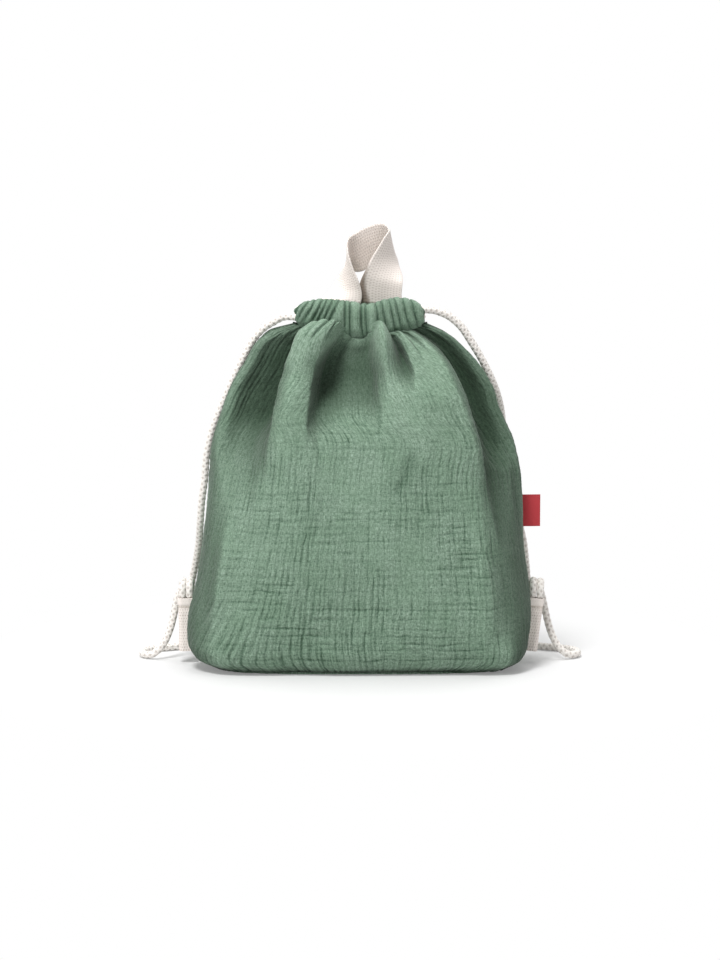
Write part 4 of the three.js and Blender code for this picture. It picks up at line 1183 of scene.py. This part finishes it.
def long_creases(grid):
    """The height of the long creases at each point of the front cloth."""
    flat = grid[..., [0, 2]]
    height = np.zeros(flat.shape[:2])
    for points, half_width, depth in LONG_CREASES:
        line = spaced(centripetal(points, 10) * MM, 40)
        gap = np.full(height.shape, 1.0)
        share = np.zeros(height.shape)
        for i, point in enumerate(line):
            away = np.linalg.norm(flat - point, axis=-1)
            share = np.where(away < gap, i / (len(line) - 1), share)
            gap = np.minimum(gap, away)
        fade = smooth_step(share, 0, 0.25) * smooth_step(1 - share, 0, 0.25)
        height -= depth * MM * fade * bell(gap, half_width * MM)
    return height


# Panels
def puffed(side, grid, place, height, hidden):
    """Raises the puffs in front of the casing. Returns their rise at the top, and what then stays hidden."""
    puff = puff_rise(side, place * half_seam)
    share = smooth_step(height, PUFFS_START, 1.0)
    grid[..., 2] += puff * share ** 1.5
    push = PUFF_PUSH + 0.5 * puff * (1 - 0.6 * smooth_step(height, PUFF_ROUNDING, 1.0))
    grid[..., 1] += outward_of[side] * share * push
    return puff[-1], hidden * (1 - share * np.clip(puff / OPEN_PUFF, 0, 1))


def turned_in(side, top, place, puff):
    """Rows of cloth from a panel's top edge over and down into the seam under its casing."""
    seam, seam_out, _ = mouth_line(side, place * casing_half_length)
    level = top[:, 2:] - puff[:, None] + TURN_LIFT
    seam_line = np.concatenate([seam + seam_out * TURN_OUT, level], axis=1)
    side_share = smooth_step(np.abs(place), *TURN_SIDES)[:, None]
    seam_line = seam_line * (1 - side_share) + (top + (0, 0, TURN_SIDE_LIFT)) * side_share
    over = (top + seam_line) / 2
    over[:, 2] = top[:, 2] + TURN_RISE + TURN_PUFF_SHARE * puff
    share = np.linspace(0, 1, TUCK_ROWS + 1)[1:, None, None]
    return (1 - share) ** 2 * top + 2 * share * (1 - share) * over + share ** 2 * seam_line


def dented(side, grid, even, s, t, height, hidden):
    """The cloth with its soft dents, which leave out the seams, the top edge and what a fold hides."""
    calm = (0.4 + 0.6 * smooth_step(height, 0.0, 0.06)) * (1 - smooth_step(height, 0.9, 1.0)) * (1 - hidden)
    dent = waves(s, t, DENTS, SEEDS[side + "_panel"] + 20) * calm * smooth_step(1 - np.abs(even), 0, 0.12)
    return grid - outward_of[side] * grid_normals(grid) * dent[..., None]


def recess_shade(side, even, height, hidden):
    """How far the folds and the strip near the floor lie in the dark, from 0 to 1."""
    low_seam = smooth_step(np.abs(even), 0.84, 0.95) * (1 - smooth_step(height, 0.5, 0.62))
    depth = (hidden - RECESS_START) * recess_gain[side](even) * (1 - 0.85 * low_seam)
    shade = 1 - np.exp(-RECESS_SOFTNESS * np.maximum(0, depth))
    return np.maximum(shade, FLOOR_SHADE * (1 - smooth_step(height, *FLOOR_SHADE_REACH)))


def panel_cloth(side):
    """A panel with its puffs and its turned-in top edge: points, places from seam to seam, heights, and how
    much of the open sky its folds hide."""
    grid, place = body_points(side, PANEL_COLUMNS, PANEL_ROWS, PANEL_BOTTOM)
    hidden = np.array([hidden_share(row[:, 0], outward_of[side] * row[:, 1]) for row in grid])
    height = np.linspace(0, 1, PANEL_ROWS)[:, None] + 0 * place
    puff, hidden = puffed(side, grid, place, height, hidden)
    grid = np.concatenate([grid, turned_in(side, grid[-1], place[-1], puff)])
    over_top = 1 + TUCK_SHARE * np.linspace(0, 1, TUCK_ROWS + 1)[1:, None]
    height = np.concatenate([height, over_top + 0 * place[:TUCK_ROWS]])
    place, hidden = (np.concatenate([a, np.repeat(a[-1:], TUCK_ROWS, axis=0)]) for a in (place, hidden))
    return grid, place, height, hidden


def creased(side, grid, even, s, t, height):
    """The cloth with its crinkle and its long creases, and the painted shade of each crease."""
    normal = -outward_of[side] * grid_normals(grid)
    drawn_in = corner_draw(even, height)
    bump, crease = crinkle(s, t, SEEDS[side + "_panel"], drawn_in, smooth_step(np.abs(even), 0.5, 0.75))
    near_top = 1 - CALMER_CRINKLE * smooth_step(height, 0.82, 1.0)
    drawn = 0 * bump
    if side == "front":
        right_low = smooth_step(even, 0.6, 0.66) * (1 - smooth_step(height, 0.5, 0.6))
        near_top = near_top * (1 - CALMER_CRINKLE * right_low)
        drawn = long_creases(grid)
    edge = smooth_step(1 - np.abs(even), 0.0, 0.03)
    grid = grid + normal * (bump * near_top * edge + drawn)[..., None]
    return grid, crease * near_top - DRAWN_SHADE * drawn


def over_floor(side, grid, s, even, height):
    """Lifts the cloth's lower edge, which waves a little, clear of the floor."""
    hem = FLOOR_WAVE * noise(s / FLOOR_WAVE_LENGTH, 0 * s, SEEDS[side + "_panel"] + 30)
    gap = FLOOR_GAP * bell(even - 0.05, 0.33) + hem
    low = FLOOR_ROOM + np.maximum(gap, 0) * (1 - smooth_step(height, 0, 0.02))
    grid[..., 2] = np.maximum(grid[..., 2], low)


def make_panel(side):
    grid, place, height, hidden = panel_cloth(side)
    even = np.linspace(-1, 1, PANEL_COLUMNS)[None, :] + 0 * place
    s, t = even * HALF_GIRTH, height * (SEAM_HEIGHT - PANEL_BOTTOM)
    grid = dented(side, grid, even, s, t, height, hidden)
    grid, crease = creased(side, grid, even, s, t, height)
    groove = bell((1 - np.abs(even)) * HALF_GIRTH, GROOVE_HALF_WIDTH)
    grid[..., 0] -= np.sign(even) * GROOVE_DEPTH * groove
    over_floor(side, grid, s, even, height)
    meeting = (1 - pleat_height(side, place * half_seam)) ** 4 * smooth_step(height, 0.9, 1)
    # Painted shade in the crinkle's creases, the seam groove and where the pleats meet
    crease = np.clip(crease + 0.4 * groove + 0.3 * meeting, 0, 1)
    # Painted shade in the folds' recesses and in a strip along the floor
    recess = recess_shade(side, even, height, hidden)
    faces = grid_faces(*place.shape, flip=side == "back")
    uvs = np.stack([s, t], axis=-1).reshape(-1, 2)
    return mesh_piece(side + "_gauze", grid.reshape(-1, 3), faces, gauze, uvs,
                      crease=crease * (1 - 0.6 * recess), recess=recess)


# Casings
def casing_pleat(side, distance, rise):
    """The pleats of the casing, which wander a little between its foot and its top."""
    wander = PLEAT_SWAY * noise(distance / 0.012 + 0 * rise, rise / 0.5, SEEDS[side + "_pleats"])
    return pleat_height(side, distance + wander, rise)


def casing_loop(side, share, inside):
    """The casing's section at one share along it: rows of [offset from the mouth line, height]."""
    distance = share * casing_half_length
    bottom = SEAM_HEIGHT + CASING_LIFT + SHOULDER_RISE * shoulder_share(abs(distance) / half_seam)
    rise = (1 - np.cos(np.linspace(0, np.pi, CASING_FACE_STEPS))) / 2
    pleat = casing_pleat(side, distance, rise)
    top = ruffle_top - float(curve_through(RUFFLE_EDGE[side])(share)) - RUFFLE_DIP * (1 - pleat[-1])
    past = (rise - CASING_ROUNDING) / (1 - CASING_ROUNDING)
    swell = np.interp(rise, *np.array(CASING_SWELL).T) * np.sqrt(1 - past.clip(0, 1) ** 2)
    outer = (CASING_BULGE + CASING_PLEAT * pleat * smooth_step(rise, 0.0, 0.2)) * swell
    inner = (CASING_BULGE + INNER_PLEAT_SHARE * CASING_PLEAT * pleat) * swell
    z = bottom + (top - bottom) * rise
    if inside:
        outer, inner = (np.maximum(face - CASING_THICKNESS, CASING_LEAST_ROOM) for face in (outer, inner))
        z = bottom + CASING_THICKNESS + (top - bottom - 2 * CASING_THICKNESS) * rise
    return np.vstack([np.stack([outer, z], axis=1), np.stack([-inner, z], axis=1)[::-1][1:-1]])


def casing_layer(side, shares, inside):
    rows = []
    for share in shares:
        place, out, _ = mouth_line(side, share * casing_half_length)
        loop = casing_loop(side, share, inside)
        rows.append(np.concatenate([place + loop[:, :1] * out, loop[:, 1:]], axis=1))
    return np.array(rows)


def make_casing(side):
    shares = np.linspace(-1, 1, CASING_STATIONS)
    outer, inner = (casing_layer(side, shares, inside) for inside in (False, True))
    count = outer.shape[1]
    normal = outward_of[side] * grid_normals(outer)
    s = np.broadcast_to(shares[:, None] * casing_half_length * GATHER, (CASING_STATIONS, count))
    t = SEAM_HEIGHT + np.broadcast_to(np.linspace(0, CASING_CLOTH, count)[None, :], s.shape)
    bump, crease = crinkle(s, t, SEEDS[side + "_casing"])
    outer = outer + normal * (CASING_CRINKLE * bump)[..., None]
    rises = np.concatenate([np.linspace(0, 1, CASING_FACE_STEPS), np.linspace(1, 0, CASING_FACE_STEPS)[1:-1]])
    meeting = np.array([1 - casing_pleat(side, share * casing_half_length, rises) for share in shares])
    # Painted shade in the crinkle and where the pleats meet
    crease = np.clip(0.5 * crease + 1.15 * meeting ** 2.0, 0, 1)
    faces = sleeve_faces(CASING_STATIONS, count, flip=side == "front")
    return layered_piece(side + "_gathered_casing", (outer, inner), faces, gauze, s, t, crease=(crease, 0))


# Lining and base
def lining_points(side, rows, columns):
    """A surface inside the outer cloth, which bridges its narrow folds, in rows of one height each."""
    outer, _ = body_points(side, LINING_SOURCE_COLUMNS, rows, LINING_BOTTOM)
    heights = np.linspace(0, 1, rows)
    ways = np.linspace(0, np.pi, columns)
    radii, sizes = np.zeros((rows, columns)), np.zeros((rows, 2))
    for r, height in enumerate(heights):
        plain = outline_points(height, np.array([1.0, 0.5]))
        sizes[r] = plain[0, 0], plain[1, 1]
        x = (outer[r, :, 0] - BODY_LEAN * lean_share(height)) / sizes[r, 0]
        out = np.abs(outer[r, :, 1]) / sizes[r, 1]
        near = np.abs(np.arctan2(out, -x)[None, :] - ways[:, None]) < LINING_REACH
        radii[r] = np.where(near, np.hypot(x, out)[None, :], 2).min(axis=1)
    for _ in range(LINING_ROUNDS):
        radii = np.minimum(radii, softened(radii, LINING_SOFTNESS))
        radii = np.minimum(radii, softened(radii.T.copy(), LINING_SOFTNESS).T)
    room = LINING_ROOM + LINING_TOP_ROOM * smooth_step(heights, 0.76, 0.86)
    radii -= room[:, None] / sizes.min(axis=1)[:, None]
    across = -np.cos(ways)[None, :]
    x = across * radii * sizes[:, :1] + (BODY_LEAN * lean_share(heights))[:, None]
    x = x - across * seam_tuck(across, heights[:, None]) * 0.5
    y = outward_of[side] * np.sin(ways)[None, :] * radii * sizes[:, 1:]
    z = LINING_BOTTOM + (SEAM_HEIGHT * LINING_TOP_SHARE - LINING_BOTTOM) * heights[:, None] + 0 * x
    return np.stack([x, y, z], axis=-1)


def make_lining(side):
    grid = lining_points(side, LINING_ROWS, LINING_COLUMNS)
    s = np.linspace(-1, 1, LINING_COLUMNS)[None, :] * HALF_GIRTH + 0 * grid[..., 2]
    t = grid[..., 2]
    normal = -outward_of[side] * grid_normals(grid)
    grid = grid + normal * waves(s, t, LINING_WAVES, SEEDS[side + "_lining"])[..., None]
    faces = shell_faces(LINING_ROWS, LINING_COLUMNS)
    if side == "back":
        faces = [face[::-1] for face in faces]
    layers = (grid, grid - normal * LINING_THICKNESS)
    return layered_piece(side + "_lining_cloth", layers, faces, lining_cloth, s, t, crease=(0, 0))


def make_base(name, node_name, material):
    """A flat piece of cloth with rounded corners, in rings from its middle to its edge."""
    bottom, thickness, inset, depth = BASE_LAYERS[node_name]
    half = half_outline(FLOOR_WIDTH / 2 - inset, FLOOR_DEPTH / 2 - inset, BODY_PROFILE[0][3])
    run = run_along(half)
    at = np.linspace(0, run[-1], BASE_COLUMNS // 2, endpoint=False)
    half = np.stack([np.interp(at, run, values) for values in half.T], axis=1)
    rings = np.linspace(BASE_MIDDLE, 1, BASE_RINGS)[:, None, None]
    flat = np.vstack([half * (1, -1), half * (-1, 1)])[None] * rings
    s, t = flat[..., 0], flat[..., 1]
    bump, crease = crinkle(s, t, SEEDS[node_name])
    top = np.concatenate([flat, (bottom + thickness + 0 * bump)[..., None]], axis=-1)
    low = np.concatenate([flat, (bottom - np.minimum(bump, 0) * depth)[..., None]], axis=-1)
    count, columns = BASE_RINGS * BASE_COLUMNS, BASE_COLUMNS
    faces = grid_faces(BASE_RINGS, columns, wrap=True, flip=True)
    faces += grid_faces(BASE_RINGS, columns, count, wrap=True)
    faces += [tuple(range(columns)), tuple(range(count, count + columns))[::-1]]
    for k in range(columns):
        a, b = count - columns + k, count - columns + (k + 1) % columns
        faces.append((a, a + count, b + count, b))
    # Painted shade in the crinkle's creases
    piece = layered_piece(name, (top, low), faces, material, s, t, crease=(crease, crease))
    dressed(piece, node_name)


def make_body():
    for side in ("front", "back"):
        casing = dressed(make_casing(side), side + "_casing")
        panel = dressed(make_panel(side), side + "_panel")
        lining = dressed(make_lining(side), side + "_lining")
    make_base("base_gauze", "base_panel", gauze)
    make_base("base_lining_cloth", "base_lining", lining_cloth)


make_body()


# Handle
def ribbed(u, v):
    """Webbing with ribs along it and short slanting threads across each rib: their height and the painted
    shade between them.
    """
    rib = np.abs(np.sin(np.pi * u / RIB_SPACING)) ** 0.6
    lean = np.where(np.floor(u / RIB_SPACING).astype(int) % 2 == 0, 1, -1)
    slant = np.sin(2 * np.pi * (v / RIB_PITCH + lean * u / RIB_SPACING * 0.5))
    height = RIB_DEPTH * (0.7 * rib + 0.3 * slant * rib)
    return height, np.clip((1.1 - rib) * (0.45 - 0.55 * slant), 0, 1)


def handle_shade(u, to_end, station):
    """The painted shade on the strip where one leg of the loop stands behind the other, and a lighter painted
    shade inside the loop.
    """
    strip = SHADE_WIDTH * (1 - to_end / SHADE_LENGTH)
    lit = smooth_step(u + WEBBING_WIDTH / 2, strip - SHADE_INNER_EDGE, strip + SHADE_OUTER_EDGE)
    shade = STRIP_SHADE * (1 - lit) * (to_end < SHADE_LENGTH)
    inside = smooth_step(station, *LOOP_START) * (1 - smooth_step(station, *LOOP_END))
    return np.maximum(shade, LOOP_SHADE * inside)


def make_handle():
    edges = np.concatenate([centripetal([station[k] for station in HANDLE_STATIONS]) for k in (0, 1)], axis=1)
    middle = (edges[:, :3] + edges[:, 3:]) / 2 + np.array(HANDLE_FOOT)
    across = unit(edges[:, 3:] - edges[:, :3])
    sewn = (0, 0, HANDLE_SEAM_DEPTH)
    middle = np.vstack([middle[:1] - sewn, middle, middle[-1:] - sewn])
    across = np.vstack([across[:1], across, across[-1:]])
    normal = unit(np.cross(across, np.gradient(middle, axis=0)))
    u, v = np.broadcast_arrays(np.linspace(-0.5, 0.5, HANDLE_COLUMNS)[None, :] * WEBBING_WIDTH,
                               run_along(middle)[:, None])
    height, crease = ribbed(u, v)
    selvedge = smooth_step(np.abs(u), WEBBING_WIDTH / 2 - SELVEDGE_WIDTH, WEBBING_WIDTH / 2)
    half = WEBBING_THICKNESS / 2 - RIB_DEPTH + height * (1 - selvedge) - SELVEDGE_DROP * selvedge
    flat = middle[:, None] + across[:, None] * u[..., None]
    to_end = v[-1:] - v
    inner = np.clip(-2 * u / WEBBING_WIDTH, 0, 1) ** 2
    behind, before = (inner * (1 - smooth_step(away, *LEG_TURN)) for away in (to_end, v))
    for axis, (push, pull) in enumerate(LEG_PUSHES):
        flat[..., axis] += push * before + pull * behind
    shade = handle_shade(u, to_end, np.arange(len(middle))[:, None] / CURVE_STEPS)
    layers = [flat + way * normal[:, None] * half[..., None] for way in (1, -1)]
    # Painted shade between the ribs, on the hidden strip and inside the loop
    piece = layered_piece("carry_handle_webbing", layers, shell_faces(*u.shape), webbing, u, v,
                          crease=(crease, crease), recess=(shade, shade))
    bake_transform(piece)
    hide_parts("carry_handle")


make_handle()


# Corner tabs
def tab_outline(columns):
    """A rounded slot round both cords, with its ways out."""
    straight = TAB_HALF_WIDTH - TAB_HALF_DEPTH
    turn = math.pi * TAB_HALF_DEPTH
    ring, out = [], []
    for run in np.linspace(0, 4 * straight + 2 * turn, columns, endpoint=False):
        way = 1 if run < 2 * straight + turn else -1
        along = run if way > 0 else run - 2 * straight - turn
        angle = max(0.0, along - 2 * straight) / TAB_HALF_DEPTH - math.pi / 2
        out.append((way * math.cos(angle), way * math.sin(angle)))
        centre = way * (min(along, 2 * straight) - straight)
        ring.append((centre + TAB_HALF_DEPTH * out[-1][0], TAB_HALF_DEPTH * out[-1][1]))
    return np.array(ring), np.array(out)


def make_tab(name):
    """A sleeve of webbing folded round both cord ends, drawn in a little at its stitched mouth."""
    ring, out = tab_outline(TAB_COLUMNS)
    run = np.linspace(0, 1, TAB_COLUMNS, endpoint=False) * length_of(np.vstack([ring, ring[:1]]))
    z = np.linspace(TAB_BOTTOM - TAB_TOP, 0, TAB_ROWS)[:, None]
    u, v = np.broadcast_arrays(run[None, :], z)
    height, crease = ribbed(v, u)
    past = z + TAB_STITCH_DROP
    draw = TAB_DRAW * bell(past, TAB_DRAW_REACH)
    sag = TAB_DRAW * noise(u / 0.006 + 40, v / 0.012 + 40, SEEDS[name + "_tab"])
    hem = TAB_HEM * smooth_step(past, 0.001, 0.002)
    smooth = smooth_step(past, -0.001, 0.001)
    height = height * (1 - smooth) + 0.7 * RIB_DEPTH * smooth
    # Painted shade along the drawn-in stitch line, and on the whole inside layer
    crease = crease * (1 - 0.8 * smooth) + 0.5 * bell(past, 0.0006)
    layers = []
    for room in (height - RIB_DEPTH - draw + sag + hem, 0 * height - TAB_WALL):
        flat = ring[None] + out[None] * room[..., None]
        layers.append(lean_tab(name, np.concatenate([flat, v[..., None]], axis=-1)))
    faces = sleeve_faces(TAB_ROWS, TAB_COLUMNS, flip=name == "left")
    dressed(layered_piece(name + "_tab_webbing", layers, faces, webbing, u, v, crease=(crease, 0.5)),
            name + "_tab")


def stitches(name, ends, material):
    """Short rounded stitches between pairs of ends, each a little thread that dips into the cloth."""
    points, faces = [], []
    sides, steps = 6, 7
    for start, end, out in ends:
        start, end, out = np.array(start), np.array(end), np.array(out)
        over = unit(np.cross(unit(end - start), out))
        first = len(points)
        for share in np.arange(steps) / (steps - 1):
            rise = STITCH_RADIUS * (2.2 * math.sin(math.pi * share) - 1.0)
            centre = start + (end - start) * share + out * rise
            for a in 2 * math.pi * np.arange(sides) / sides:
                points.append(centre + STITCH_RADIUS * (math.cos(a) * over + math.sin(a) * out))
        last = first + (steps - 1) * sides
        faces += grid_faces(steps, sides, first, wrap=True)
        faces += [tuple(range(first, first + sides))[::-1], tuple(range(last, last + sides))]
    return mesh_piece(name, points, faces, material, np.array(points)[:, :2], crease=np.zeros(len(points)))


def make_tab_stitching(name):
    count = int(length_of(tab_outline(240)[0]) / STITCH_LENGTH)
    ring, out = tab_outline(count * 10)
    ends = []
    for i in range(0, count * 10, 10):
        pair = [lean_tab(name, np.array([*ring[at], -TAB_STITCH_DROP])) for at in (i + 1, i + 8)]
        ends.append((*pair, (hand[name] * out[i + 5][0], out[i + 5][1], 0)))
    dressed(stitches(name + "_tab_thread", ends, thread), name + "_tab_stitching")


for tab_name in ("left", "right"):
    make_tab(tab_name)
    make_tab_stitching(tab_name)


# Label
def make_label():
    """A ribbon folded in half, with both ends sewn into the side seam."""
    straight = LABEL_LENGTH - LABEL_FOLD
    there = np.linspace(0, straight, LABEL_COLUMNS)
    path = [(d, -LABEL_HALF_GAP - LABEL_BOWS[0] * math.sin(math.pi * d / straight)) for d in there]
    path += [(straight + LABEL_FOLD * math.sin(a), -LABEL_HALF_GAP * math.cos(a))
             for a in np.linspace(0.2, math.pi - 0.2, 9)]
    path += [(d, LABEL_HALF_GAP + LABEL_BOWS[1] * math.sin(math.pi * d / straight)) for d in there[::-1]]
    path = np.array(path)
    u, v = np.broadcast_arrays(run_along(path)[:, None], np.linspace(0, LABEL_HEIGHT, LABEL_ROWS)[None, :])
    tangent = unit(np.gradient(path, axis=0))
    out = np.stack([tangent[:, 1], -tangent[:, 0]], axis=1)
    twill = np.sin(2 * np.pi * (u + v) / TWILL_SPACING)
    edge = smooth_step(LABEL_HEIGHT / 2 - np.abs(v - LABEL_HEIGHT / 2), *LABEL_EDGE)
    bend = LABEL_BEND * (path[:, 0] / LABEL_LENGTH) ** 2
    half = LABEL_HALF_THICKNESS + TWILL_DEPTH * twill + LABEL_EDGE_RISE * edge
    layers = []
    for way in (1, -1):
        flat = path[:, None] + way * out[:, None] * half[..., None]
        x = LABEL_ROOT[0] + flat[..., 0]
        y = LABEL_ROOT[1] + flat[..., 1] + bend[:, None]
        layers.append(np.stack([x, y, LABEL_ROOT[2] + v], axis=-1))
    # The darker tone of the ribbon's twill and of its middle, away from its edges
    crease = np.clip(0.25 * edge + 0.18 * twill, 0, 1)
    faces = [face[::-1] for face in shell_faces(*u.shape)]
    piece = layered_piece("side_label_ribbon", layers, faces, ribbon, u, v, crease=(crease, crease))
    dressed(piece, "side_label", body="label")


make_label()

visual_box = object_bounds()
({"cad": [list(corner) for corner in cad_box],
           "visual": [list(corner) for corner in visual_box]})
